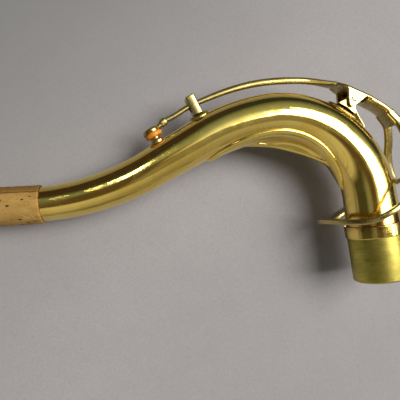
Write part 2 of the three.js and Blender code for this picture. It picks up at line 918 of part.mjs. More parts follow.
// Ring: a circle in plan, level on the mouthpiece side and rising to meet the arms
function ringLevel(x, y) {
  const soft = (past) => (Math.hypot(past, ringKneeSoftness) + past) / 2;
  const rise = ringSlopeShare * soft(x - ringKnee) + ringHeelSlopeShare * soft(ringKnee - x);
  return ringHeight + rise - y * Math.tan(radians(ringTilt));
}
function ringPoint(turn) {
  const [x, y] = [ringRadius * Math.cos(turn), ringRadius * Math.sin(turn)];
  return new THREE.Vector3(x, y, ringLevel(x, y));
}
const ringPath = steps(ringSteps)
  .slice(1)
  .map((share) => ringPoint(share * 2 * Math.PI));
addPiece(
  octaveKey,
  "key_ring",
  sweep(ringPath, () => outline(ringHalfHeight, ringHalfWidth, ringSides), new THREE.Vector3(0, 0, 1), true),
  "lacquer",
);

// Fork: a trunk that leaves the saddle, then two arms that part round the bend, down to the ring
function forkGeometry() {
  const armPoint = ([out, down, span], side) => {
    const landing = ringPoint(radians(armLandingAngle) * (side || 1));
    const middle = new THREE.Vector3(pivot.x, 0, pivot.z);
    const level = side ? landing.z : ringLevel(landing.x, 0);
    return middle.add(
      new THREE.Vector3(
        (landing.x - pivot.x) * out,
        Math.abs(landing.y) * side * span,
        (level - pivot.z) * down,
      ),
    );
  };
  const arms = [-1, 1].map((side) => {
    const curve = new THREE.CatmullRomCurve3(armPathShares.map((shares) => armPoint(shares, side)));
    return sweep(
      curve.getSpacedPoints(armSteps),
      () => outline(armHalfWidth, armHalfDepth, armSides),
      acrossNeck,
    );
  });
  const trunkCurve = new THREE.CatmullRomCurve3([
    saddlePoint(saddleAhead - seatGap, saddleRise - saddleCrown / 2),
    armPoint(armPathShares[0], 0),
    armPoint(armPathShares[1], 0),
  ]);
  const trunk = sweep(
    trunkCurve.getSpacedPoints(armSides),
    () => outline(trunkHalfWidth, armHalfDepth - seatGap / 2, 2 * armSides, trunkPower),
    acrossNeck,
  );
  const ringRoom = sweep(
    ringPath,
    () => outline(ringHalfHeight + seatGap, ringHalfWidth + seatGap, ringSides),
    new THREE.Vector3(0, 0, 1),
    true,
  );
  return cut(join(trunk, ...arms), ringRoom, saddleRoom);
}
addPiece(octaveKey, "key_fork", forkGeometry(), "lacquer");

const tenorNeck = new THREE.Group();
tenorNeck.add(neck, octaveKey);

export default tenorNeck;
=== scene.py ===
import math

import bpy
import numpy as np
from mathutils import Matrix, Vector


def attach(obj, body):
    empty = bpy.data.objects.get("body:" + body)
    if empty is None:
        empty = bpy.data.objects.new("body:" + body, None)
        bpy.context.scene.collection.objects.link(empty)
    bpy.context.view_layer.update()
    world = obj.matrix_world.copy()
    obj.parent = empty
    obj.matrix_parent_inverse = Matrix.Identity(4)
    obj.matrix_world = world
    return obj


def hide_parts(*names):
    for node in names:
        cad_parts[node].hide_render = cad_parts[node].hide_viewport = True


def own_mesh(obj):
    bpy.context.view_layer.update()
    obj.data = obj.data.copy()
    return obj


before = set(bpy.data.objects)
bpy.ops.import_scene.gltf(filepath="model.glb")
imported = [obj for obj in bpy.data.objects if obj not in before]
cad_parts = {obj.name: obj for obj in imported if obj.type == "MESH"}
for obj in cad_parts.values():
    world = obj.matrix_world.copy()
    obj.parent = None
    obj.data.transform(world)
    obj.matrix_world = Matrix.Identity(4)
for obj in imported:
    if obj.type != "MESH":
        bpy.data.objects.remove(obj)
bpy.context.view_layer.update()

MM = 0.001
FULL = 2 * math.pi
ACROSS = np.array([0.0, 1.0, 0.0])
UP = np.array([0.0, 0.0, 1.0])

# Sizes of the pieces, nearly all of them as in the part's source
SEAT_GAP, RUNNING_GAP = 0.3, 0.35
RISE_LENGTH = 41.4
BEND_RADIUS, BEND_TURN = 46.1, 90
SHOULDER_RADIUS, SHOULDER_TURN = 91, 21.2
SLOPE_LENGTH = 27.2
RETURN_RADIUS, RETURN_TURN = 119.5, 28.2
END_LENGTH = 46
TIP_RADIUS, TAPER, TUBE_WALL = 6.5, 0.0262, 0.7
TENON_RADIUS, TENON_LENGTH, TENON_WALL, TENON_CHAMFER = 13.6, 21.6, 1.05, 0.4
COLLAR_RADIUS, COLLAR_LENGTH, COLLAR_ROUNDING = 14.3, 6.1, 0.5
CORK_LENGTH, CORK_RADIUS, CORK_TIP_RADIUS, CORK_SETBACK, CORK_CHAMFER = 51.4, 8.85, 8.7, 1.5, 0.5
BRACE_START, BRACE_END, BRACE_SHEET, BRACE_ANGLE = 48, 150, 1.2, 48
BRACE_SKEW, BRACE_FULLNESS = 1.3, 0.55
KEEL_START, KEEL_END, KEEL_DEPTH, KEEL_HALF, KEEL_ROOT, KEEL_DRAFT = 66, 127, 4.4, 1.5, 2.9, 0.35
PIP_STATION, PIP_RADIUS, PIP_FOOT_RADIUS, PIP_FOOT_HEIGHT = 165.2, 2.6, 4, 0.8
PIP_HEIGHT, PIP_BORE_RADIUS = 2.3, 1.5
PAD_RADIUS, PAD_THICKNESS, PAD_SHOULDER, PAD_PRESS = 4.2, 2.6, 1.9, 0.05
CUP_RADIUS, CUP_BORE, CUP_LIP, CUP_TOP = 4.4, 3.9, 2.2, 4.8
GUIDE_STATION, GUIDE_LENGTH, GUIDE_HEIGHT = 142.7, 4.6, 10.4
GUIDE_PRONG, GUIDE_FLOOR, GUIDE_ROUNDING = 1.3, 1.8, 1.1
FOOT_SHEET, FOOT_LENGTH, FOOT_ANGLE, FOOT_TIP_SHARE = 0.8, 8, 28, 0.5
PIVOT_STATION, PIVOT_HEIGHT = 80, 6
BARREL_RADIUS, BARREL_LENGTH, POST_LENGTH, POST_TOP_SHARE = 2.3, 11, 8, 0.8
PLATE_LENGTH, PLATE_ANGLE = 14, 30
SCREW_RADIUS, SCREW_HEAD, SCREW_HEAD_HEIGHT = 1.1, 2, 0.9
SADDLE_THICKNESS, SADDLE_CROWN, SADDLE_POWER, SADDLE_FALL = 2.2, 1.1, 6, math.radians(31.5)
SADDLE_AHEAD, SADDLE_BEHIND, SADDLE_RISE, SADDLE_TAIL_HALF = 8.2, 10, 4.5, 4.6
EAR_THICKNESS, EAR_REACH, EAR_AHEAD, EAR_BEHIND, EAR_NOSE = 1.4, 4, 5.6, 5, 1.8
BAR_HALF_WIDTH, BAR_HALF_DEPTH, BAR_RISE = 2, 1.3, 8.6
BAR_PATH = np.array([
    (0, 0), (0.03, 0.17), (0.1, 0.39), (0.16, 0.61), (0.24, 0.8), (0.33, 0.96),
    (0.41, 1.07), (0.56, 1.11), (0.71, 0.93), (0.85, 0.59), (1, 0),
])
BAR_FLARE_SHARE, BAR_FLARE_POWER = 0.85, 1.3
SOCKET_WALL, SOCKET_LENGTH = 0.6, 3.2
ARM_HALF_WIDTH, ARM_HALF_DEPTH, TRUNK_HALF_WIDTH = 1.5, 2.1, 6.6
RING_RADIUS, RING_HALF_HEIGHT, RING_HALF_WIDTH = 25.3, 1.25, 1.4
RING_HEIGHT, RING_SLOPE, RING_HEEL_SLOPE, RING_TILT = 29.1, 0.47, 0.24, math.radians(3.6)
RING_KNEE, RING_SOFTNESS = -12, 4
ARM_LANDING = math.radians(31)
ARM_PATH = np.array([
    (0.7, 0.19, 0.34), (0.85, 0.34, 0.41), (0.89, 0.48, 0.58),
    (0.89, 0.67, 0.8), (0.92, 0.84, 0.93), (1, 1, 1),
])
SPRING_THICKNESS, SPRING_WIDTH, SPRING_LANDING = 0.45, 4.4, 69.5
SPRING_SCREW, SPRING_SCREW_HEAD, SPRING_SCREW_HEAD_HEIGHT = 0.8, 1.5, 0.7

# Sizes and shares that only the scene has: solder, filed and crowned forms, pits, slots, a stain
AXIS = 0.02
SOLDER_DEPTH = 0.1
FEATHER, FEATHER_SHARE = 2.4, 0.55
LEAF_END, LEAF_END_POWER, LEAF_CORNER = 0.25, 40, 0.36
STAIN_BAND = 27.5, 29.5, 31.0, 36.5
PIT_COUNT, PIT_SIZE, PIT_STRETCH, PIT_DEPTH = 110, (0.25, 0.6), (1, 2.2), (0.08, 0.26)
CORK_WAVE, GROWTH_LINE = 0.05, 6.9
BRACE_TIP_SHARE = 0.03
KEEL_END_SHARE, KEEL_FLARE, KEEL_CLIMB_POWER = 0.05, 0.6, 1.5
PIP_SINK = 1.5
PAD_FACE_INSET, PAD_FACE_DEPTH, PAD_NECK = 0.5, 0.7, 0.6
DOME_INSET, DOME_DROP, CUP_SIDE_DROP = 1.3, 0.12, 0.9
PRONG_FALL, PRONG_ROUNDING = 0.3, 0.6
WEB_INSET, WEB_ROUNDING, WEB_SINK = 0.2, 0.4, 0.2
SADDLE_CHAMFER, SADDLE_EDGE, SADDLE_TAPER_POWER = 0.3, 0.45, 1.2
EAR_INSET, EAR_ARC = 0.02, (205, 335)
TRUNK_OVERLAP, TRUNK_NARROWED, TRUNK_THINNED, TRUNK_POWER = 1.5, 0.12, 0.1, 2.8
ARM_CORNER, RING_CORNER, SPRING_CORNER = 1.4, 0.75, 0.15
SCREW_ROOM, SCREW_ROOM_END = 0.3, 9.5
BAR_NARROWED, BAR_THINNED, BAR_FILLED, BAR_FILLED_FROM, BAR_FILLED_BY = 0.92, 0.96, 0.98, 0.05, 0.2
BAR_BELLY, BAR_BELLY_START, BAR_CROWN, BAR_POWER = 0.35, 0.25, 0.3, 2.4
SOCKET_WIDTH_SHARE, SOCKET_DEPTH_SHARE, SOCKET_CORNER = 0.8, 0.85, 0.9
SOCKET_BORE_ROOM, SOCKET_END_ROUNDING = 0.05, 0.35
SPRING_TAIL, SPRING_BEND = 1.4, 2.4
SLOT_WIDTH, SLOT_DEPTH = 0.5, 0.8
SMALL_SLOT_WIDTH, SMALL_SLOT_DEPTH, SLOT_REACH = 0.4, 0.6, 2.5


def arc(radius, turn):
    """A curved run of the centre line: its length and its turn in radians."""
    return radius * math.radians(abs(turn)), math.radians(turn)


RUNS = [
    (RISE_LENGTH, 0.0), arc(BEND_RADIUS, BEND_TURN), arc(SHOULDER_RADIUS, SHOULDER_TURN),
    (SLOPE_LENGTH, 0.0), arc(RETURN_RADIUS, -RETURN_TURN), (END_LENGTH, 0.0),
]
LINE_LENGTH = sum(length for length, _ in RUNS)


def centre_line(station):
    """x, z and heading of the centre line: each run adds its chord for the part that is passed."""
    station = np.clip(np.asarray(station, float), 0, LINE_LENGTH)
    x, z, heading = (np.zeros_like(station) for _ in range(3))
    start = turned = 0.0
    for length, turn in RUNS:
        step = np.clip(station - start, 0, length)
        bend = turn / length
        if turn:
            x = x + (np.cos(turned + bend * step) - math.cos(turned)) / bend
            z = z + (np.sin(turned + bend * step) - math.sin(turned)) / bend
        else:
            x = x - math.sin(turned) * step
            z = z + math.cos(turned) * step
        heading = heading + bend * step
        start, turned = start + length, turned + turn
    return x, z, heading


def beside(station, lift, side=0.0):
    """Points beside the centre line: lift runs out from the bend's middle and side runs along Y."""
    x, z, heading = centre_line(station)
    side = side + np.zeros_like(x + lift)
    return np.stack([x + np.cos(heading) * lift, side, z + np.sin(heading) * lift], -1)


def round_tube(station, radius, turn):
    """Points at a radius round the centre line, the turn counted from the outside of the bend."""
    return beside(station, radius * np.cos(turn), radius * np.sin(turn))


def outer_radius(station):
    return TIP_RADIUS + TAPER * (LINE_LENGTH - station)


def turns(count):
    return np.linspace(0, FULL, count, endpoint=False)


def circle(turn):
    return np.stack([np.cos(turn), np.sin(turn)], -1)


def passed(value, start, end):
    """Share of the way from start to end, held between 0 and 1."""
    return np.clip((value - start) / (end - start), 0, 1)


def unit(vectors):
    return vectors / np.linalg.norm(vectors, axis=-1, keepdims=True)


def seat(station, lift):
    """Frame of something seated on the tube: X back down the tube, Y across, Z away from it."""
    _, _, heading = centre_line(station)
    away = np.array([math.cos(heading), 0, math.sin(heading)])
    return np.stack([np.cross(ACROSS, away), ACROSS, away], 1), beside(station, lift)


def placed(points, frame_at):
    """Points of a local frame carried to their place: place + axes times point."""
    axes, place = frame_at
    return points @ axes.T + place


def skin(sections, looped=False):
    """Closed skin over sections of equal counts. Face (i, j) joins points j and j + 1 of sections i
    and i + 1, a looped skin joins the last section to the first, and an open one has flat ends.
    All are turned over if the volume that they enclose is negative."""
    rows, cols = sections.shape[:2]
    i = np.arange(rows if looped else rows - 1)[:, None]
    j = np.arange(cols)[None, :]
    ahead, beyond = (j + 1) % cols, (i + 1) % rows
    quads = np.stack([i * cols + j, i * cols + ahead, beyond * cols + ahead, beyond * cols + j], -1)
    quads = quads.reshape(-1, 4)
    ends = [] if looped else [np.arange(cols)[::-1], np.arange((rows - 1) * cols, rows * cols)]
    points = sections.reshape(-1, 3)
    a, b, c, d = points[quads].swapaxes(0, 1)
    volume = np.sum(a * (np.cross(b, c) + np.cross(c, d)))
    for end in ends:
        fan = points[end]
        volume += np.sum(fan[0] * np.cross(fan[1:-1], fan[2:]))
    faces = [*quads.tolist(), *(end.tolist() for end in ends)]
    return points, faces if volume > 0 else [face[::-1] for face in faces]


def box_loop(half_a, half_b, corner, flats=6, arcs=5):
    """Rounded box round the origin, one loop for each entry of half_a: each corner is an arc about
    a point that lies a corner's radius inside, and the flats between them are evenly divided."""
    half_a, half_b, corner = np.broadcast_arrays(*map(np.atleast_1d, (half_a, half_b, corner)))
    corner = np.minimum(corner, np.minimum(half_a, half_b) * 0.999)[:, None, None]
    signs = np.array([(1, 1), (-1, 1), (-1, -1), (1, -1)])
    share = np.linspace(0, 1, flats + 1)[1:-1, None]
    middles, outwards = [], []
    for k, sign in enumerate(signs):
        bend = circle(np.linspace(k, k + 1, arcs + 1) * math.pi / 2)
        middles += [sign + bend * 0, sign + (signs[(k + 1) % 4] - sign) * share]
        outwards += [bend, bend[-1] + share * 0]
    middle = np.concatenate(middles) * (np.stack([half_a, half_b], -1)[:, None] - corner)
    return middle + np.concatenate(outwards) * corner


def oval_loop(half_a, half_b, power):
    """Fuller than an ellipse: |a / half_a| and |b / half_b|, each to the power, add up to 1."""
    half_a, half_b = np.broadcast_arrays(*map(np.atleast_1d, (half_a, half_b)))
    ring = circle(turns(44))
    return np.sign(ring) * np.abs(ring) ** (2 / power) * np.stack([half_a, half_b], -1)[:, None]


def reach_of(path):
    """Length along a path, up to each of its points."""
    return np.concatenate([[0], np.cumsum(np.linalg.norm(np.diff(path, axis=0), axis=1))])


def picked(path, along, reach):
    """Points of a path whose own points lie at the given lengths along it."""
    return np.stack([np.interp(reach, along, path[:, k]) for k in range(3)], 1)


def through(points, count):
    """Even points on a smooth path through the given ones: cubic pieces with shared end slopes."""
    points = np.asarray(points, float)
    along = reach_of(points)
    slopes = np.gradient(points, along, axis=0)
    reach = np.linspace(0, along[-1], count * 8)
    i = np.clip(np.searchsorted(along, reach) - 1, 0, len(along) - 2)
    span = (along[i + 1] - along[i])[:, None]
    t = ((reach - along[i]) / span[:, 0])[:, None]
    fine = (
        points[i] * (2 * t**3 - 3 * t**2 + 1) + slopes[i] * span * (t**3 - 2 * t**2 + t)
        + points[i + 1] * (3 * t**2 - 2 * t**3) + slopes[i + 1] * span * (t**3 - t**2)
    )
    reach = reach_of(fine)
    return picked(fine, reach, np.linspace(0, reach[-1], count))


def carried(path, loops, axis, looped=False):
    """Sections carried along a path: the first axis is the given one made square to the path."""
    if looped:
        ahead = unit(np.roll(path, -1, 0) - np.roll(path, 1, 0))
    else:
        ahead = unit(np.gradient(path, axis=0))
    first = unit(axis - ahead * (ahead @ axis)[:, None])
    second = np.cross(ahead, first)
    return path[:, None] + first[:, None] * loops[..., :1] + second[:, None] * loops[..., 1:]


def sweep(path, loops, axis, looped=False):
    return skin(carried(path, loops, axis, looped), looped)


def rounded(corners, radii, parts=6, looped=False):
    """A profile with its corners turned into arcs: each arc is the parabola between the points that
    lie a radius before and after its corner, with one more point just outside each end."""
    corners = np.asarray(corners, float)
    radii = np.broadcast_to(radii, len(corners)).astype(float)
    out = []
    share = np.linspace(0, 1, parts + 1)[:, None]
    for k, corner in enumerate(corners):
        if not looped and k in (0, len(corners) - 1) or radii[k] == 0:
            out.append(corner[None])
            continue
        before, after = corners[k - 1] - corner, corners[(k + 1) % len(corners)] - corner
        reach = [min(radii[k], 0.49 * np.linalg.norm(arm)) for arm in (before, after)]
        start, end = corner + unit(before) * reach[0], corner + unit(after) * reach[1]
        bend = start * (1 - share) ** 2 + 2 * corner * share * (1 - share) + end * share**2
        tail = [corner + unit(arm) * r * 1.02 for arm, r in zip((before, after), reach)]
        out.append(np.concatenate([tail[:1], bend, tail[1:]]))
    return np.concatenate(out)


def layered(plans, levels, frame_at, looped=False):
    """Skin over plans in a frame's X and Y, each at its own level along the frame's Z."""
    levels = np.asarray(levels, float)[:, None, None]
    points = np.concatenate([plans, np.broadcast_to(levels, (*plans.shape[:2], 1))], -1)
    return skin(placed(points, frame_at), looped)


def lathe(profile, frame_at, sides, looped=False):
    """A profile of radius and height turned round its frame's Z."""
    radius, height = np.asarray(profile, float).T
    return layered(radius[:, None, None] * circle(turns(sides)), height, frame_at, looped)


def prism(outline, low, high, frame_at):
    """An outline in its frame's X and Y, made solid between two heights along its Z."""
    return layered(np.stack([outline, outline]), (low, high), frame_at)


def leaf(start, end, half_angle, sheet, facing, tip_share, swell, rows=120):
    """Sheet soldered on the tube about the direction it faces: a rounded box section bent round it,
    as wide at each station as the swell says and thinner in its last few per cent. Its solder fills
    the seam, so its inside lies just under the tube's skin, and its long edges are filed thin."""
    sheet = sheet + SEAT_GAP + SOLDER_DEPTH
    share = np.linspace(0, 1, rows)
    station = start + (end - start) * share
    radius = outer_radius(station) - SOLDER_DEPTH + sheet / 2
    spread = math.radians(half_angle) * (tip_share + (1 - tip_share) * swell(share)) * radius
    full = np.sqrt(np.clip(1 - np.abs(2 * share - 1) ** LEAF_END_POWER, 0, 1))
    half = sheet / 2 * (LEAF_END + (1 - LEAF_END) * full)
    loop = box_loop(spread, half, sheet * LEAF_CORNER, flats=20)
    turn = math.radians(facing) + loop[..., 0] / radius[:, None]
    half = half[:, None]
    level = loop[..., 1]
    from_edge = passed(spread[:, None] - np.abs(loop[..., 0]), 0, FEATHER)
    filed = (level + half) * (1 - FEATHER_SHARE * (1 - from_edge) ** 2) - half
    height = np.where(level > -half * 0.99, filed, level)
    return skin(round_tube(station[:, None], radius[:, None] - sheet / 2 + half + height, turn))


def round_swell(share):
    return np.sqrt(np.clip(1 - (2 * share - 1) ** 2, 0, 1))


def add_object(name, data):
    made = bpy.data.objects.new(name, data)
    bpy.context.scene.collection.objects.link(made)
    return made


def mesh_object(name, points, faces):
    mesh = bpy.data.meshes.new(name)
    mesh.from_pydata((points * MM).tolist(), [], faces)
    return add_object(name, mesh)


def piece(name, solids, node, body, finish, crease=35):
    """A mesh of one or more solids that stands for a CAD node and moves with its body."""
    points, faces, shift = [], [], 0
    for solid_points, solid_faces in solids:
        points.append(solid_points)
        faces += [[corner + shift for corner in face] for face in solid_faces]
        shift += len(solid_points)
    made = mesh_object(name, np.concatenate(points), faces)
    made.data.shade_smooth()
    if crease:
        made.data.set_sharp_from_angle(angle=math.radians(crease))
    slot_name, material = finish
    made.data.materials.append(material)
    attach(made, body)
    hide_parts(node)
    return made


def turned(name, node, body, finish, table, frame_at, sides, looped=False):
    """A turned piece. Its table holds the radius, the height and the rounding of each corner."""
    table = np.array(table, float)
    outline = rounded(table[:, :2], table[:, 2], looped=looped)
    return piece(name, [lathe(outline, frame_at, sides, looped)], node, body, finish)


def fused(made, voxel, passes):
    """Melts the solids of a piece into one skin and softens it, as brazed and filed joints are."""
    melt = made.modifiers.new("brazed", "REMESH")
    melt.mode = "VOXEL"
    melt.voxel_size = voxel * MM
    melt.use_smooth_shade = True
    soften = made.modifiers.new("filed", "SMOOTH")
    soften.factor = 0.5
    soften.iterations = passes


# Nodes of the finishes

Socket = bpy.types.NodeSocket


def add(kind, inputs=None, tree=None, **settings):
    """One node with its settings and its inputs, each a value or a socket to link. It goes into the
    tree of the sockets that it links, unless a tree is given."""
    inputs = inputs or {}
    tree = tree or next(value.id_data for value in inputs.values() if isinstance(value, Socket))
    node = tree.nodes.new("ShaderNode" + kind)
    for key, value in settings.items():
        setattr(node, key, value)
    for key, value in inputs.items():
        if isinstance(value, Socket):
            tree.links.new(value, node.inputs[key])
        else:
            node.inputs[key].default_value = value
    return node


def calc(operation, *values, clamp=False):
    node = add("Math", dict(enumerate(values)), operation=operation, use_clamp=clamp)
    return node.outputs[0]


def chained(operation, first, *others):
    """Sum, product or largest of several values, of which the first is a socket."""
    for value in others:
        first = calc(operation, first, value)
    return first


def times(*values):
    return chained("MULTIPLY", *values)


def total(*values):
    return chained("ADD", *values)


def remap(value, low, high, to_low=0.0, to_high=1.0, **settings):
    return add("MapRange", {
        "Value": value, "From Min": low, "From Max": high, "To Min": to_low, "To Max": to_high,
    }, **settings).outputs[0]


def band(value, start, end, after, until):
    """1 between end and after, and 0 before start and beyond until."""
    return times(remap(value, start, end), remap(value, until, after))


def blend(share, first, second):
    """Mix of two colours, each a socket or red, green and blue."""
    first, second = (way if isinstance(way, Socket) else (*way, 1) for way in (first, second))
    return add("Mix", {0: share, 6: first, 7: second}, data_type="RGBA").outputs[2]


def painted(colour, *layers):
    """A colour under layers, each a share and a colour of its own."""
    for share, layer in layers:
        colour = blend(share, colour, layer)
    return colour


def noise(vector, scale, detail=3.0, roughness=0.55, distortion=0.0):
    return add("TexNoise", {
        "Vector": vector, "Scale": scale, "Detail": detail,
        "Roughness": roughness, "Distortion": distortion,
    }).outputs["Fac"]


def stretched(vector, scale, turn=(0, 0, 0)):
    return add("Mapping", {"Vector": vector, "Rotation": turn, "Scale": scale}).outputs[0]


def scaled(vector, factor):
    return add("VectorMath", {0: vector, "Scale": factor}, operation="SCALE").outputs[0]


def reach_along(vector, axis):
    return add("VectorMath", {0: vector, 1: axis}, operation="DOT_PRODUCT").outputs["Value"]


def distance_from(value, middle):
    return calc("ABSOLUTE", calc("SUBTRACT", value, middle))


def group(name, numbers, output, fill):
    """A shared node group of a vector and the named numbers. fill turns their sockets into the
    socket that the group puts out."""
    tree = bpy.data.node_groups.new(name, "ShaderNodeTree")
    tree.interface.new_socket("Vector", in_out="INPUT", socket_type="NodeSocketVector")
    for number in numbers:
        tree.interface.new_socket(number, in_out="INPUT", socket_type="NodeSocketFloat")
    tree.interface.new_socket(output, in_out="OUTPUT", socket_type="NodeSocketFloat")
    enter, leave = (tree.nodes.new("NodeGroup" + end) for end in ("Input", "Output"))
    tree.links.new(fill(*enter.outputs[:len(numbers) + 1]), leave.inputs[0])
    return tree


def use(shared, vector, **numbers):
    """Places a shared group on a vector, and gives the socket that it puts out."""
    return add("Group", {"Vector": vector, **numbers}, node_tree=shared).outputs[0]


def scratch_lines(vector, amount, fineness):
    """Hairlines: narrow ridges of noise drawn out in three directions, in patches."""
    lines = (
        noise(stretched(vector, (2.6, 0.16, 2.6), turn), fineness)
        for turn in ((0.2, 0.4, 0.9), (0.9, 1.3, 0.1), (1.7, 0.3, 2.2))
    )
    ridges = chained("MAXIMUM", *(remap(distance_from(line, 0.5), 0.010, 0.0) for line in lines))
    return times(ridges, remap(noise(vector, 0.16), 0.42, 0.62), amount)


def worn_edges(vector, amount):
    """Worn edges: the mesh's pointed places, broken up by noise."""
    pointed = add("NewGeometry", tree=vector.id_data).outputs["Pointiness"]
    broken = remap(noise(vector, 0.9, 4.0), 0.35, 0.65)
    return calc("MULTIPLY", times(remap(pointed, 0.515, 0.6), broken), amount, clamp=True)


def tone(vector, scale):
    """Slow changes of tone: two layers of soft noise."""
    broad, close = noise(vector, scale, 2.0), noise(vector, times(scale, 5.0), 4.0)
    return remap(total(times(broad, 0.7), times(close, 0.3)), 0.36, 0.64)


def round_specks(vector, scale, radius, share):
    """Small round specks: near the middle of a cell, in a share of the cells."""
    cells = add("TexVoronoi", {"Vector": vector, "Scale": scale})
    near = remap(cells.outputs["Distance"], radius, 0.0)
    pick = add("SeparateColor", {"Color": cells.outputs["Color"]}).outputs[0]
    return calc("MULTIPLY", near, calc("LESS_THAN", pick, share), clamp=True)


def brushing(vector):
    """Brushing: noise drawn out along the two directions in which its vector is scaled down."""
    coarse, fine = noise(vector, 1.0, 4.0, 0.7), noise(vector, 3.1, 2.0, 0.6)
    return total(times(coarse, 0.6), times(fine, 0.4))


SCRATCHES = group("hairline_scratches", ("Amount", "Fineness"), "Mask", scratch_lines)
WEAR = group("edge_wear", ("Amount",), "Mask", worn_edges)
PATCHES = group("tone_patches", ("Scale",), "Mask", tone)
SPECKS = group("small_specks", ("Scale", "Radius", "Share"), "Mask", round_specks)
BRUSHED = group("brushed_grain", (), "Height", brushing)


def shader_of(material):
    return material.node_tree.nodes["Principled BSDF"]


def start_material(name, **shader):
    """A material with values for its shader, and its object coordinates in millimetres."""
    made = bpy.data.materials.new(name)
    made.use_nodes = True
    for key, value in shader.items():
        shader_of(made).inputs[key.replace("_", " ")].default_value = value
    return made, scaled(add("TexCoord", tree=made.node_tree).outputs["Object"], 1 / MM)


def dress(made, colour, roughness, height, strength, depth):
    """Links a finish to its shader: its colour, its roughness if it varies, and its bump."""
    bump = add("Bump", {"Height": height, "Strength": strength, "Distance": depth * MM}).outputs[0]
    for name, socket in (("Base Color", colour), ("Roughness", roughness), ("Normal", bump)):
        if socket is not None:
            made.node_tree.links.new(socket, shader_of(made).inputs[name])
    return made


def lacquered(name, gold, deep, rough, scratch, speck_share, ripples, worn, stained=False):
    """Clear lacquer on polished brass: two golds in slow patches, pale worn edges, dark specks
    under the lacquer, dull dust and hairlines that catch light, and for the tube a warm stain
    round its foot, where it was soldered."""
    made, here = start_material(name, Metallic=1.0, Coat_Weight=0.2, Coat_Roughness=0.06)
    colour = blend(use(PATCHES, here, Scale=0.07), gold, deep)
    if stained:
        level = add("SeparateXYZ", {0: here}).outputs["Z"]
        ragged = total(level, times(noise(here, 0.35), 5.0))
        colour = blend(times(band(ragged, *STAIN_BAND), 0.55), colour, (0.50, 0.20, 0.07))
    specks = use(SPECKS, here, Scale=0.9, Radius=0.16, Share=speck_share)
    wear = use(WEAR, here, Amount=worn)
    colour = painted(colour, (times(specks, 0.7), (0.22, 0.13, 0.04)), (wear, (0.93, 0.80, 0.52)))
    lines = use(SCRATCHES, here, Amount=scratch, Fineness=0.8)
    dust = use(SPECKS, here, Scale=1.5, Radius=0.24, Share=0.14)
    dust = times(dust, remap(noise(here, 0.06), 0.42, 0.6))
    smear = remap(noise(here, 0.22, 4.0), 0.35, 0.7, rough, rough * 1.7)
    dull = total(smear, times(lines, 0.3), times(dust, 0.3), times(wear, 0.08))
    ripple = times(noise(here, 0.12, 2.0), ripples)
    height = total(ripple, times(lines, -0.06), times(specks, -0.08))
    return dress(made, colour, dull, height, 0.35, 0.12)


def bare_brass():
    """Bare brass of the tenon: brushed round, greenish brown where it has dulled, brighter where
    it is rubbed."""
    made, here = start_material("bare_brass", Metallic=1.0, Anisotropic=0.35)
    brushed = use(BRUSHED, stretched(here, (0.05, 0.05, 5.0)))
    specks = use(SPECKS, here, Scale=0.55, Radius=0.22, Share=0.25)
    colour = painted(
        (0.50, 0.415, 0.08),
        (use(PATCHES, stretched(here, (0.5, 0.5, 1.0)), Scale=0.16), (0.29, 0.235, 0.033)),
        (times(remap(brushed, 0.42, 0.62), 0.45), (0.64, 0.55, 0.17)),
        (times(specks, 0.5), (0.16, 0.12, 0.05)),
        (use(WEAR, here, Amount=1.0), (0.85, 0.74, 0.46)),
    )
    return dress(made, colour, remap(brushed, 0.3, 0.7, 0.27, 0.42), brushed, 0.5, 0.05)


def natural_cork():
    """Sanded cork: tan with darker growth bands and flecks, dark pores and a fine grain. Its upper
    side is darkened by painted shade, down to a growth line that runs along it."""
    made, here = start_material("natural_cork", Specular_IOR_Level=0.25)
    grain = noise(here, 3.2, 5.0, 0.7)
    bands = noise(stretched(here, (0.06, 0.5, 0.5)), 1.4, 3.0, 0.6, 0.6)
    bands = remap(distance_from(bands, 0.56), 0.022, 0.0)
    x, z, heading = (float(value) for value in centre_line(LINE_LENGTH))
    upward = (math.cos(heading), 0, math.sin(heading))
    level = calc("SUBTRACT", reach_along(here, upward), x * upward[0] + z * upward[2])
    level = total(level, times(noise(here, 0.12, 3.0), 1.6))
    # Painted shade: the cork's upper side is darker, down to the growth line
    upper_shade = remap(level, GROWTH_LINE - 0.6, GROWTH_LINE + 0.8)
    line = remap(distance_from(level, GROWTH_LINE), 0.4, 0.1, 0.0, 0.8)
    flecks = use(SPECKS, stretched(here, (0.6, 1.0, 1.0)), Scale=1.2, Radius=0.26, Share=0.3)
    pores = use(SPECKS, stretched(here, (0.55, 1.0, 1.0)), Scale=0.55, Radius=0.34, Share=0.32)
    dark = calc("MAXIMUM", times(flecks, 0.5), remap(pores, 0.15, 0.5))
    colour = painted(
        (0.45, 0.27, 0.07),
        (use(PATCHES, stretched(here, (0.35, 1.0, 1.0)), Scale=0.35), (0.34, 0.185, 0.04)),
        (remap(grain, 0.5, 0.75, 0.0, 0.7), (0.56, 0.37, 0.13)),
        (times(bands, 0.55), (0.17, 0.075, 0.02)),
        (times(upper_shade, 0.8), (0.19, 0.085, 0.012)),
        (line, (0.10, 0.035, 0.006)),
        (dark, (0.05, 0.02, 0.006)),
    )
    height = calc("SUBTRACT", times(grain, 0.4), dark)
    return dress(made, colour, remap(grain, 0.3, 0.7, 0.62, 0.88), height, 0.7, 0.25)


def waxed_pad():
    """Amber pad: warm orange that is darker in patches, waxy, with a fine leather-like grain."""
    made, here = start_material("waxed_pad", Coat_Weight=0.12, Coat_Roughness=0.3,
                                Subsurface_Weight=0.06, Subsurface_Scale=0.002)
    grain = noise(here, 4.5, 4.0)
    colour = painted(
        (0.86, 0.31, 0.012),
        (use(PATCHES, here, Scale=0.5), (0.58, 0.16, 0.006)),
        (remap(grain, 0.55, 0.75, 0.0, 0.5), (0.92, 0.46, 0.06)),
    )
    return dress(made, colour, remap(grain, 0.3, 0.7, 0.34, 0.55), grain, 0.4, 0.06)


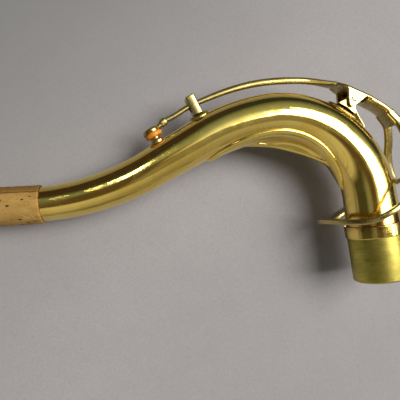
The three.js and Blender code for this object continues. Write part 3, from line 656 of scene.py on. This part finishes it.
def turned_steel():
    """Turned steel of the screws: brushed, with worn bright edges."""
    made, here = start_material("turned_steel", Metallic=1.0)
    brushed = use(BRUSHED, stretched(here, (1.2, 4.0, 1.2)))
    wear = use(WEAR, here, Amount=1.0)
    colour = painted((0.55, 0.52, 0.46), (brushed, (0.72, 0.70, 0.64)), (wear, (0.92, 0.90, 0.85)))
    return dress(made, colour, remap(brushed, 0.3, 0.7, 0.2, 0.34), brushed, 0.3, 0.03)


# Each finish is a slot and a material. The numbers of a lacquer are its roughness, its scratches,
# its share of specks, its ripples and how far its edges are worn.
LACQUER = "lacquered_brass"
TUBE_GOLD = LACQUER, lacquered("lacquered_tube", (0.88, 0.68, 0.19), (0.80, 0.58, 0.13),
                               0.06, 0.8, 0.10, 0.45, 0.8, stained=True)
# The key's brass is the tube's lacquered brass with a darker gold: painted shade on the keywork;
# its greater roughness is its own satin finish
KEY_SHADED_GOLD = LACQUER, lacquered("lacquered_key_shaded", (0.58, 0.47, 0.18), (0.44, 0.34, 0.105),
                              0.19, 1.0, 0.22, 0.2, 0.3)
# Painted shade: the bar's gold is darker still than the key's, though it is the same lacquered
# brass
BAR_SHADED_GOLD = LACQUER, lacquered("lacquered_bar_shaded", (0.46, 0.37, 0.135), (0.35, 0.27, 0.08),
                              0.24, 1.0, 0.22, 0.2, 0.25)
SPRING_GOLD = "spring_bronze", lacquered("spring_bronze", (0.72, 0.56, 0.20), (0.60, 0.44, 0.13),
                                         0.16, 1.0, 0.08, 0.2, 0.8)
BARE_BRASS = "raw_brass", bare_brass()
CORK = "cork", natural_cork()
PAD = "pad", waxed_pad()
STEEL = "screw_steel", turned_steel()


def tube():
    """One skin that runs out along the outside, over the rounded lip and back along the bore."""
    lip = TUBE_WALL / 2
    outside = np.linspace(TENON_LENGTH, LINE_LENGTH - lip, 340)
    over = np.linspace(0, math.pi, 10)[1:-1]
    inside = outside[::-3]
    station = np.concatenate([outside, LINE_LENGTH - lip + lip * np.sin(over), inside])
    radius = np.concatenate([
        outer_radius(outside),
        outer_radius(LINE_LENGTH) - lip + lip * np.cos(over),
        outer_radius(inside) - TUBE_WALL,
    ])
    return skin(round_tube(station[:, None], radius[:, None], turns(96)), looped=True)


piece("neck_tube_skin", [tube()], "neck_tube", "neck", TUBE_GOLD, crease=60)

UPRIGHT = (np.eye(3), np.zeros(3))
tenon_bore = TENON_RADIUS - TENON_WALL
turned("tenon_barrel", "tenon_sleeve", "neck", BARE_BRASS, [
    (tenon_bore, 0, 0.25),
    (TENON_RADIUS - TENON_CHAMFER / 2, 0, 0.35),
    (TENON_RADIUS, TENON_CHAMFER, 0.35),
    (TENON_RADIUS, TENON_LENGTH, 0.05),
    (tenon_bore, TENON_LENGTH, 0.05),
], UPRIGHT, 128, looped=True)

collar_bore = outer_radius(TENON_LENGTH) + SEAT_GAP / 2
collar_top = TENON_LENGTH + COLLAR_LENGTH
turned("tenon_collar_band", "tenon_collar", "neck", TUBE_GOLD, [
    (collar_bore, TENON_LENGTH, 0.05),
    (COLLAR_RADIUS, TENON_LENGTH, COLLAR_ROUNDING),
    (COLLAR_RADIUS, collar_top, COLLAR_ROUNDING + 0.15),
    (collar_bore - SEAT_GAP / 4, collar_top, 0.1),
], UPRIGHT, 128, looped=True)


def cork():
    """A sleeve with rounded edges, a slight wave and shallow pits: each pit sinks the surface by
    its depth times a bell of the distance from its middle over its size."""
    chance = np.random.default_rng(7)
    far = LINE_LENGTH - CORK_SETBACK
    near = far - CORK_LENGTH
    station = np.linspace(near, far, 250)[:, None]
    turn = turns(250)[None, :]
    share = (station - near) / CORK_LENGTH
    edge = 1 - passed(np.minimum(station - near, far - station), 0, CORK_CHAMFER)
    radius = CORK_RADIUS + (CORK_TIP_RADIUS - CORK_RADIUS) * share - CORK_CHAMFER * edge**2
    radius = radius + np.zeros_like(turn)
    for _ in range(PIT_COUNT):
        at, about = chance.uniform(near + 1, far - 1), chance.uniform(0, FULL)
        size, longer = chance.uniform(*PIT_SIZE), chance.uniform(*PIT_STRETCH)
        away = (turn - about + math.pi) % FULL - math.pi
        distance = ((station - at) / (size * longer)) ** 2 + (away * CORK_RADIUS / size) ** 2
        radius -= chance.uniform(*PIT_DEPTH) * np.exp(-distance)
    wave = CORK_WAVE * np.sin(3 * turn + station * 0.11) * np.sin(station * 0.23)
    outside = round_tube(station, radius + wave, turn)
    bore = station[::-6]
    inside = round_tube(bore, outer_radius(bore) + SEAT_GAP / 4, turn)
    return skin(np.concatenate([outside, inside]), looped=True)


piece("mouthpiece_cork_sleeve", [cork()], "mouthpiece_cork", "neck", CORK, crease=50)


def brace_swell(share):
    return np.clip(np.sin(math.pi * share**BRACE_SKEW), 0, 1) ** BRACE_FULLNESS


brace_leaf = leaf(BRACE_START, BRACE_END, BRACE_ANGLE, BRACE_SHEET, 180,
                  BRACE_TIP_SHARE, brace_swell, 220)
piece("brace_leaf", [brace_leaf], "brace_plate", "neck", TUBE_GOLD)


def keel():
    """Web under the leaf: it stands on a foot that flares out where it meets the sheet and gets
    thinner towards its crest, which is a half round. Its depth swells and sinks along it, so that
    its edge is nearly straight."""
    share = np.linspace(0, 1, 120)[:, None]
    station = KEEL_START + (KEEL_END - KEEL_START) * share
    depth = KEEL_DEPTH * (KEEL_END_SHARE + (1 - KEEL_END_SHARE) * np.sin(math.pi * share))
    climb = np.linspace(0, 1, 26)[None, :] ** KEEL_CLIMB_POWER
    straight = np.maximum(depth - KEEL_HALF, 0.02)
    rise = climb * straight
    crest = np.minimum(KEEL_HALF, depth)
    half = KEEL_HALF * np.minimum(1, depth / KEEL_HALF) * (1 - KEEL_DRAFT * climb)
    half = half + (KEEL_ROOT - KEEL_HALF) * np.exp(-rise / KEEL_FLARE)
    over = np.linspace(0, math.pi, 15)[None, 1:-1]
    top = half[:, -1:]
    side = np.concatenate([half, top * np.cos(over), -half[:, ::-1]], 1)
    lift = np.concatenate([rise, straight + crest * np.sin(over), rise[:, ::-1]], 1)
    root = outer_radius(station) + 2 * SEAT_GAP + BRACE_SHEET
    ground = np.sqrt(root**2 - side**2) - 2 * SEAT_GAP
    return skin(beside(station, -(ground + lift), side))


piece("brace_web", [keel()], "brace_keel", "neck", TUBE_GOLD)

# Octave vent, pad and cup
pip_surface = outer_radius(PIP_STATION)
turned("octave_pip_turning", "octave_pip", "neck", KEY_SHADED_GOLD, [
    (PIP_BORE_RADIUS, -PIP_SINK, 0),
    (PIP_FOOT_RADIUS, -PIP_SINK, 0),
    (PIP_FOOT_RADIUS, PIP_FOOT_HEIGHT / 2, 0.3),
    (PIP_RADIUS, PIP_FOOT_HEIGHT, 0.8),
    (PIP_RADIUS, PIP_HEIGHT, 0.3),
    (PIP_BORE_RADIUS, PIP_HEIGHT, 0.15),
], seat(PIP_STATION, pip_surface), 64, looped=True)

pad_seat = seat(PIP_STATION, pip_surface + PIP_HEIGHT + PAD_PRESS)
pad = turned("octave_pad_disc", "octave_pad", "octave_key", PAD, [
    (AXIS, 0, 0),
    (PAD_RADIUS - PAD_FACE_INSET, 0, 0.5),
    (PAD_RADIUS, PAD_FACE_DEPTH, 0.5),
    (PAD_RADIUS - 0.05, PAD_SHOULDER, 0.4),
    (PAD_RADIUS - PAD_NECK, PAD_SHOULDER + 0.1, 0.1),
    (PAD_RADIUS - PAD_NECK, PAD_THICKNESS, 0.1),
    (AXIS, PAD_THICKNESS, 0),
], pad_seat, 72)

turned("pad_cup_dome", "pad_cup", "octave_key", KEY_SHADED_GOLD, [
    (AXIS, PAD_THICKNESS + SEAT_GAP, 0),
    (CUP_BORE, PAD_THICKNESS + SEAT_GAP, 0.1),
    (CUP_BORE, CUP_LIP, 0.1),
    (CUP_RADIUS, CUP_LIP, 0.18),
    (CUP_RADIUS, CUP_TOP - CUP_SIDE_DROP, 0.7),
    (CUP_RADIUS - DOME_INSET, CUP_TOP - DOME_DROP, 1.2),
    (AXIS, CUP_TOP, 0),
], pad_seat, 72)


def foot_sheet(name, node, station, length, angle):
    """Small round-ended sheet soldered on top of the tube, under a piece that stands on it."""
    sheet = leaf(station - length / 2, station + length / 2, angle, FOOT_SHEET, 0,
                 FOOT_TIP_SHARE, round_swell, 60)
    piece(name, [sheet], node, "neck", KEY_SHADED_GOLD)


# Guide of the bar
foot_sheet("guide_foot_sheet", "guide_foot", GUIDE_STATION, FOOT_LENGTH, FOOT_ANGLE)


def guide_sections():
    """Fork seen along the tube, two prongs with round tops and a round-cornered floor between them.
    Its outer sides and tops fall away with the square and the eighth power of the way to its front
    and back faces."""
    slot_half = BAR_HALF_WIDTH + RUNNING_GAP
    base = outer_radius(GUIDE_STATION) + FOOT_SHEET + SEAT_GAP
    floor = base + SEAT_GAP + GUIDE_FLOOR
    for share in np.linspace(-1, 1, 17):
        fall = PRONG_FALL * (share**2 + share**8)
        outer = slot_half + GUIDE_PRONG - fall
        top = outer_radius(GUIDE_STATION) + GUIDE_HEIGHT - 0.6 * fall
        half = np.array([(outer, base), (outer, top), (slot_half, top), (slot_half, floor)])
        radii = [0.1, PRONG_ROUNDING, PRONG_ROUNDING, GUIDE_ROUNDING]
        outline = np.concatenate([half, half[::-1] * (-1, 1)])
        yield rounded(outline, radii + radii[::-1], parts=5, looped=True)


guide_plans = np.stack(list(guide_sections()))
guide_levels = np.linspace(-1, 1, len(guide_plans)) * GUIDE_LENGTH / 2
guide_axes, guide_place = seat(GUIDE_STATION, 0.0)
guide_solid = layered(guide_plans, guide_levels, (guide_axes[:, [1, 2, 0]], guide_place))
guide = piece("guide_prongs", [guide_solid], "guide_fork", "neck", KEY_SHADED_GOLD)
bevel = guide.modifiers.new("edge_rounding", "BEVEL")
bevel.width = 0.2 * MM
bevel.segments = 3
bevel.angle_limit = math.radians(30)
bevel.harden_normals = False

# Pivot on the tube
pivot = beside(PIVOT_STATION, outer_radius(PIVOT_STATION) + PIVOT_HEIGHT)
foot_sheet("pivot_foot_sheet", "pivot_plate", PIVOT_STATION, PLATE_LENGTH, PLATE_ANGLE)

# Frames with their Z along Y: for plates in the neck's plane, and for what turns about the pivot
SIDEWAYS = (np.array([[1.0, 0, 0], [0, 0, 1.0], [0, 1.0, 0]]), np.zeros(3))
ON_PIVOT = (SIDEWAYS[0], pivot)


def flat_points(points):
    return np.asarray(points)[:, [0, 2]]


def rod(radius, half, rounding=0):
    """Rod along the pivot's axis, half of it on each side, with rounded ends."""
    corners = [(AXIS, -half), (radius, -half), (radius, half), (AXIS, half)]
    return lathe(rounded(corners, [0, rounding, rounding, 0]), ON_PIVOT, 48)


def post():
    """Barrel, and a web under it that widens towards a foot on the sheet."""
    half = BARREL_LENGTH / 2
    base = outer_radius(PIVOT_STATION) + FOOT_SHEET + SEAT_GAP
    reach = np.array([-1, -0.5, 0, 0.5, 1]) * POST_LENGTH / 2
    foot = beside(PIVOT_STATION + reach, base - WEB_SINK * (np.abs(reach) > 1))
    middle = beside(PIVOT_STATION, 0.0)
    tops = [
        beside(PIVOT_STATION + side * BARREL_RADIUS * POST_TOP_SHARE, 0.0) - middle + pivot
        for side in (1, -1)
    ]
    corners = flat_points(np.concatenate([foot, tops]))
    across = half - WEB_INSET
    web = prism(rounded(corners, WEB_ROUNDING, looped=True), -across, across, SIDEWAYS)
    return [rod(BARREL_RADIUS, half, 0.35), web]


fused(piece("pivot_post_casting", post(), "pivot_post", "neck", KEY_SHADED_GOLD, crease=0),
      voxel=0.16, passes=6)

ear_inner = BARREL_LENGTH / 2 + RUNNING_GAP
ear_outer = ear_inner + EAR_THICKNESS


def carve(made, solid):
    """Cuts a solid out of a piece, after its modifiers, and keeps the result as its mesh."""
    tool = mesh_object(made.name + "_cutter", *solid)
    cut = made.modifiers.new("cut", "BOOLEAN")
    cut.object = tool
    cut.solver = "EXACT"
    finished = made.evaluated_get(bpy.context.evaluated_depsgraph_get())
    finished = bpy.data.meshes.new_from_object(finished)
    made.modifiers.clear()
    made.data = finished
    bpy.data.objects.remove(tool)


def cut_slot(made, frame_at, size):
    """Cuts a driver slot about a frame's origin: its sizes run along the frame's axes."""
    half_x, half_y, half_z = (edge / 2 for edge in size)
    carve(made, prism(box_loop(half_x, half_y, 0.02, 1, 1)[0], -half_z, half_z, frame_at))


screw_near = ear_outer + SEAT_GAP
screw_end = screw_near + SCREW_HEAD_HEIGHT
pivot_screw = turned("pivot_screw_turning", "pivot_screw", "neck", STEEL, [
    (AXIS, -screw_near, 0), (SCREW_RADIUS, -screw_near, 0.3), (SCREW_RADIUS, screw_near, 0.05),
    (SCREW_HEAD, screw_near, 0.15), (SCREW_HEAD, screw_end, 0.35), (AXIS, screw_end, 0),
], ON_PIVOT, 48)
cut_slot(pivot_screw, (SIDEWAYS[0], pivot + ACROSS * screw_end),
         (SCREW_HEAD * SLOT_REACH, SLOT_WIDTH, SLOT_DEPTH))


def saddle_at(along, away, side=0.0):
    """Points of the saddle: along its plate from the pivot, square away from it, and across."""
    along, away, side = np.broadcast_arrays(along, away, side)
    cosine, sine = math.cos(SADDLE_FALL), math.sin(SADDLE_FALL)
    x, z = along * cosine + away * sine, away * cosine - along * sine
    return np.stack([pivot[0] + x, side + 0.0, pivot[2] + z], -1)


saddle_top = SADDLE_RISE + SADDLE_THICKNESS / 2
saddle_under = SADDLE_RISE - SADDLE_THICKNESS / 2


def saddle():
    """Plate whose top falls with a high power of the distance from its middle, its long edges
    chamfered, and two ears."""
    side = np.linspace(-1, 1, 49)
    fall = SADDLE_CROWN * np.abs(side) ** SADDLE_POWER
    top = np.stack([side * (ear_outer - SADDLE_CHAMFER), saddle_top - fall], -1)
    under = np.stack([side[::-1] * ear_outer, np.full_like(side, saddle_under)], -1)
    edge = saddle_under + SADDLE_EDGE
    loop = np.concatenate([top, [(ear_outer, edge)], under, [(-ear_outer, edge)]])
    along = np.linspace(-SADDLE_BEHIND, SADDLE_AHEAD, 40)[:, None]
    tail = passed(-along, EAR_BEHIND, SADDLE_BEHIND) ** SADDLE_TAPER_POWER
    narrow = 1 - (1 - SADDLE_TAIL_HALF / ear_outer) * tail
    plate = skin(saddle_at(along, loop[:, 1], loop[:, 0] * narrow))
    turn = np.radians(np.linspace(*EAR_ARC, 13))
    nose = saddle_at(EAR_NOSE * np.cos(turn), EAR_NOSE - EAR_REACH + EAR_NOSE * np.sin(turn))
    root = saddle_under + (SADDLE_THICKNESS - SADDLE_CROWN) / 2
    corners = np.concatenate([nose, saddle_at([EAR_AHEAD, -EAR_BEHIND], root)])
    low, high = ear_inner, ear_outer - EAR_INSET
    ears = [prism(flat_points(corners), *ends, SIDEWAYS) for ends in ((-high, -low), (low, high))]
    return [plate, *ears]


def ring_level(x, y):
    """Height of the ring: a soft knee in plan, a slope on each side of it, and a small tilt."""
    def soft(past):
        return (np.hypot(past, RING_SOFTNESS) + past) / 2
    rise = RING_SLOPE * soft(x - RING_KNEE) + RING_HEEL_SLOPE * soft(RING_KNEE - x)
    return RING_HEIGHT + rise - y * math.tan(RING_TILT)


def ring_at(turn):
    x, y = np.moveaxis(RING_RADIUS * circle(turn), -1, 0)
    return np.stack([x, y, ring_level(x, y)], -1)


def arm_points(side):
    """Way of an arm from the pivot to its landing on the ring, by its reach, drop and span."""
    landing = ring_at(ARM_LANDING * (side or 1))
    level = landing[2] if side else ring_level(landing[0], 0.0)
    return np.stack([
        pivot[0] + (landing[0] - pivot[0]) * ARM_PATH[:, 0],
        abs(landing[1]) * side * ARM_PATH[:, 2],
        pivot[2] + (level - pivot[2]) * ARM_PATH[:, 1],
    ], -1)


def fork():
    """Trunk from the saddle, and two arms that part round the bend and end on the ring."""
    loop = box_loop(ARM_HALF_WIDTH, ARM_HALF_DEPTH, ARM_CORNER)
    arms = [sweep(through(arm_points(side), 60), loop, ACROSS) for side in (-1, 1)]
    middle = arm_points(0)
    root = saddle_at(SADDLE_AHEAD - TRUNK_OVERLAP, SADDLE_RISE - SADDLE_CROWN / 2)
    path = through(np.stack([root, middle[0], middle[1]]), 40)
    half = TRUNK_HALF_WIDTH * (1 - TRUNK_NARROWED * np.linspace(0, 1, len(path)))
    trunk = sweep(path, oval_loop(half, ARM_HALF_DEPTH - TRUNK_THINNED, TRUNK_POWER), ACROSS)
    return [trunk, *arms]


# Saddle and fork, brazed and filed into one, with room for the screw cut through them
crown = piece("key_saddle_and_fork", saddle() + fork(), "key_saddle", "octave_key", KEY_SHADED_GOLD,
              crease=0)
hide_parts("key_fork")
fused(crown, voxel=0.2, passes=5)
carve(crown, rod(SCREW_RADIUS + SCREW_ROOM, SCREW_ROOM_END))

ring_loop = box_loop(RING_HALF_HEIGHT, RING_HALF_WIDTH, RING_CORNER)
piece("key_ring_band", [sweep(ring_at(turns(220)), ring_loop, UP, looped=True)],
      "key_ring", "octave_key", KEY_SHADED_GOLD)

# Bar from the cup to the saddle, and the socket at the cup
bar_foot = beside(PIP_STATION - CUP_RADIUS + SEAT_GAP,
                  pip_surface + PIP_HEIGHT + PAD_PRESS + CUP_TOP - BAR_HALF_DEPTH)
bar_head = saddle_at(-SADDLE_BEHIND, SADDLE_RISE)
bar_line = bar_foot + (bar_head - bar_foot) * BAR_PATH[:, :1] + UP * BAR_RISE * BAR_PATH[:, 1:]
bar_path = through(bar_line, 160)
bar_share = np.linspace(0, 1, len(bar_path))
bar_full = passed(bar_share, BAR_FILLED_FROM, BAR_FILLED_BY)
bar_belly = BAR_BELLY * np.sin(math.pi * passed(bar_share, BAR_BELLY_START, 1))
bar_depth = BAR_HALF_DEPTH * (BAR_THINNED + (BAR_FILLED - BAR_THINNED) * bar_full) + bar_belly
bar_flare = passed(bar_share, BAR_FLARE_SHARE, 1) ** BAR_FLARE_POWER
bar_width = BAR_HALF_WIDTH * (BAR_NARROWED + (1 - BAR_NARROWED) * bar_share)
bar_width += (SADDLE_TAIL_HALF - BAR_HALF_WIDTH) * bar_flare
# The bar is crowned: the widest place of its section lies below the middle
bar_loop = oval_loop(bar_width, bar_depth, BAR_POWER)
bar_loop[..., 1] += BAR_CROWN * (np.abs(bar_loop[..., 1]) - bar_depth[:, None])
piece("key_bar_rod", [sweep(bar_path - UP * bar_belly[:, None], bar_loop, ACROSS)],
      "key_bar", "octave_key", BAR_SHADED_GOLD)


def socket():
    """Short sleeve round the bar's end: out along its outside and back along its bore."""
    reach = reach_of(bar_path)[-1]
    inset = (2 * SEAT_GAP + SOCKET_WALL) / reach
    share = np.linspace(inset, inset + SOCKET_LENGTH / reach, 12)
    path = picked(bar_path, bar_share, share)
    width, depth = BAR_HALF_WIDTH * SOCKET_WIDTH_SHARE, BAR_HALF_DEPTH * SOCKET_DEPTH_SHARE
    fall = SOCKET_END_ROUNDING * np.abs(np.linspace(-1, 1, len(path))) ** 6
    outside, inside = (
        carried(path, box_loop(width + room, depth + room, SOCKET_CORNER + room), ACROSS)
        for room in (SOCKET_WALL + SEAT_GAP / 2 - fall, np.full(len(path), SOCKET_BORE_ROOM))
    )
    return skin(np.concatenate([outside, inside[::-1]]), looped=True)


piece("bar_socket_sleeve", [socket()], "bar_socket", "octave_key", KEY_SHADED_GOLD)

# Flat spring and its screw
spring_clamp = saddle_under - SEAT_GAP - SPRING_THICKNESS / 2
spring_screw_along = (BARREL_RADIUS + SADDLE_AHEAD) / 2 + SPRING_THICKNESS
spring_line = np.stack([
    saddle_at(spring_screw_along + SPRING_SCREW_HEAD * SPRING_TAIL, spring_clamp),
    saddle_at(spring_screw_along, spring_clamp),
    saddle_at(spring_screw_along - SPRING_SCREW_HEAD, spring_clamp - SPRING_THICKNESS),
    saddle_at(BARREL_RADIUS + SPRING_THICKNESS * SPRING_BEND, 0.0),
    beside(SPRING_LANDING, outer_radius(SPRING_LANDING) + SEAT_GAP + SPRING_THICKNESS / 2),
])
spring_loop = box_loop(SPRING_WIDTH / 2, SPRING_THICKNESS / 2, SPRING_CORNER)
spring = piece("flat_spring_strip", [sweep(through(spring_line, 60), spring_loop, ACROSS)],
               "flat_spring", "octave_key", SPRING_GOLD)
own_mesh(spring)

screw_up = saddle_at(0.0, 1.0) - saddle_at(0.0, 0.0)
screw_axes = np.stack([np.cross(ACROSS, screw_up), ACROSS, screw_up], 1)
screw_foot = -SPRING_THICKNESS / 2 - 2 * SEAT_GAP
screw_face = screw_foot - SPRING_SCREW_HEAD_HEIGHT
spring_screw_at = saddle_at(spring_screw_along, spring_clamp)
spring_screw = turned("spring_screw_turning", "spring_screw", "octave_key", STEEL, [
    (AXIS, screw_face, 0),
    (SPRING_SCREW_HEAD, screw_face, 0.4),
    (SPRING_SCREW_HEAD, screw_foot, 0.1),
    (SPRING_SCREW, screw_foot, 0.05),
    (SPRING_SCREW, SADDLE_THICKNESS / 2, 0.1),
    (AXIS, SADDLE_THICKNESS / 2, 0),
], (screw_axes, spring_screw_at), 40)
cut_slot(spring_screw, (screw_axes, spring_screw_at + screw_up * screw_face),
         (SMALL_SLOT_WIDTH, SPRING_SCREW_HEAD * SLOT_REACH, SMALL_SLOT_DEPTH))

# Camera, as fitted to the photograph: its right, up and look directions and its place
CAMERA_PLACE = (-104.949, -200.676, 59.518)
CAMERA_RIGHT = (0.980053, -0.108360, -0.166598)
CAMERA_UP = (0.168934, 0.012680, 0.985546)
CAMERA_BACK = (-0.104681, -0.994031, 0.030733)
CAMERA_AXES = np.array([CAMERA_RIGHT, CAMERA_UP, CAMERA_BACK]).T
FOCAL_SHARE = 424.40 / 400
SENSOR = 36


def stand(made, axes, place):
    """Puts an object at a place, with its axes as the columns of a matrix."""
    made.matrix_world = Matrix.Translation(Vector(place) * MM) @ Matrix(axes.tolist()).to_4x4()


camera_data = bpy.data.cameras.new("camera")
camera_data.sensor_width = SENSOR
camera_data.lens = SENSOR * FOCAL_SHARE
camera_data.clip_start, camera_data.clip_end = 0.01, 20
camera = add_object("camera", camera_data)
stand(camera, CAMERA_AXES, CAMERA_PLACE)
bpy.context.scene.camera = camera


def cloth_material():
    """Plain grey cloth with a soft nap, and painted shade towards its upper left, where less light
    falls. It doesn't show from behind, and lets light pass from there."""
    made, here = start_material("grey_cloth", Roughness=0.95, Specular_IOR_Level=0.1)
    # Painted shade: the cloth darkens towards its upper left
    upper_left_shade = remap(reach_along(here, (0.635, 0, -1)), -85, -330, interpolation_type="SMOOTHSTEP")
    nap = noise(here, 1.1, 4.0)
    colour = painted(
        (0.375, 0.352, 0.343),
        (use(PATCHES, here, Scale=0.012), (0.345, 0.323, 0.315)),
        (upper_left_shade, (0.19, 0.187, 0.178)),
        (remap(nap, 0.4, 0.7, 0.0, 0.25), (0.20, 0.19, 0.185)),
    )
    dress(made, colour, None, nap, 0.15, 0.3)
    tree = made.node_tree
    behind = add("NewGeometry", tree=tree).outputs["Backfacing"]
    towards_lamp = add("LightPath", tree=tree).outputs["Is Shadow Ray"]
    clear = add("BsdfTransparent", tree=tree).outputs[0]
    share = calc("MAXIMUM", behind, towards_lamp)
    both = add("MixShader", {0: share, 1: shader_of(made).outputs[0], 2: clear})
    tree.links.new(both.outputs[0], tree.nodes["Material Output"].inputs["Surface"])
    return made


# The cloth touches the ring's side and the side of the cork's end
CLOTH_SIDE, CLOTH_SLANT, CLOTH_REACH = 27.4, 0.087, 1500
corners = np.array([(-1, -1), (1, -1), (1, 1), (-1, 1)]) * CLOTH_REACH
cloth_points = np.stack([corners[:, 0], CLOTH_SIDE + CLOTH_SLANT * corners[:, 0], corners[:, 1]], 1)
cloth = mesh_object("cloth_floor", cloth_points, [[0, 1, 2, 3]])
cloth.data.materials.append(cloth_material())


def direction(azimuth, elevation):
    """Direction in the camera's axes: degrees to its right and up, from the way back to it."""
    across, above = math.radians(azimuth), math.radians(elevation)
    return np.array([
        math.sin(across) * math.cos(above), math.sin(above), math.cos(across) * math.cos(above),
    ])


LAMP_DISTANCE = 2500
LAMP_TARGET = np.array([-90.0, 0.0, 55.0])


def lamp(name, start, end, height, strength):
    """Soft area light that faces the neck: it reaches from one direction to another, each azimuth
    and elevation, and its height is in degrees as well. The strength is that of its surface."""
    first, last = CAMERA_AXES @ direction(*start), CAMERA_AXES @ direction(*end)
    ray, along = unit(first + last), unit(last - first)
    data = bpy.data.lights.new(name, "AREA")
    data.shape = "RECTANGLE"
    data.size = 2 * LAMP_DISTANCE * math.tan(math.acos(np.clip(first @ ray, -1, 1))) * MM
    data.size_y = 2 * LAMP_DISTANCE * math.tan(math.radians(height / 2)) * MM
    data.energy = strength * math.pi * data.size * data.size_y
    made = add_object(name, data)
    axes = np.stack([along, np.cross(ray, along), ray], 1)
    stand(made, axes, LAMP_TARGET + ray * LAMP_DISTANCE)
    made.visible_camera = False
    return made


lamp("window", (21, 9), (58, 7), 24, 11.0)
lamp("window_head", (27, 26), (47, 25), 10, 10.0)
lamp("window_side", (58.5, 6), (67, 5), 16, 3.0)
lamp("bright_edge", (-15.5, 28), (-6.5, 13), 0.7, 22.0)
lamp("back_fill", (164, -2), (196, -2), 24, 6.0).visible_glossy = False


def room():
    """Plain studio room. Metal mirrors a pale room below, a dark one above with a glow round the
    window, and a brown wall on the window's left. Soft surfaces get an even, weak light, and what
    lies behind is pale. Levels are elevations and abouts are azimuths, in degrees."""
    world = bpy.data.worlds.new("room")
    bpy.context.scene.world = world
    world.use_nodes = True
    tree = world.node_tree
    tree.nodes.clear()
    way = add("TexCoord", tree=tree).outputs["Generated"]
    rightwards, upwards, backwards, glowing = (
        reach_along(way, tuple(axis))
        for axis in (CAMERA_RIGHT, CAMERA_UP, CAMERA_BACK, CAMERA_AXES @ direction(30, 16))
    )
    level = calc("DEGREES", calc("ARCSINE", upwards))
    about = calc("DEGREES", calc("ARCTAN2", rightwards, backwards))
    bands = add("TexNoise", {"W": level, "Scale": 0.28, "Detail": 3.0}, noise_dimensions="1D")
    bands = bands.outputs["Fac"]
    low = painted(
        (0.57, 0.53, 0.43),
        (remap(level, -44, -34), (0.74, 0.70, 0.60)),
        (remap(level, -38, -27), (0.33, 0.305, 0.24)),
        (remap(level, -58, -82), (0.28, 0.25, 0.20)),
        (remap(distance_from(about, -25), 25, 80, 0.0, 0.45), (0.10, 0.09, 0.07)),
    )
    low = scaled(low, remap(bands, 0.35, 0.65, 0.68, 1.18))
    high = painted(
        (0.036, 0.023, 0.020),
        (remap(bands, 0.35, 0.65), (0.080, 0.044, 0.028)),
        (remap(about, -42, -16), (0.034, 0.043, 0.040)),
        (remap(glowing, 0.62, 0.95), (0.38, 0.44, 0.40)),
    )
    lit = times(band(about, -37, -25, -16, -8), remap(level, -21, -12))
    panelling = painted(
        (0.062, 0.062, 0.040),
        (remap(about, -28, -14), (0.110, 0.078, 0.045)),
        (lit, (0.25, 0.25, 0.21)),
    )
    wall = times(remap(distance_from(about, -31), 46, 38), band(level, -30, -25, 5, 12))
    sill = times(band(about, 5, 18, 60, 74), band(level, -5, -1, 13, 28))
    above = remap(level, -3, 3)
    mirrored = painted(low, (above, high), (wall, panelling), (sill, (1.3, 1.32, 1.25)))
    path = add("LightPath", tree=tree).outputs
    colour = painted(
        (0.15, 0.148, 0.146),
        (path["Is Glossy Ray"], mirrored),
        (path["Is Camera Ray"], (0.45, 0.44, 0.43)),
    )
    add("OutputWorld", {"Surface": add("Background", {"Color": colour}).outputs[0]})


room()
bpy.context.scene.view_settings.view_transform = "Standard"
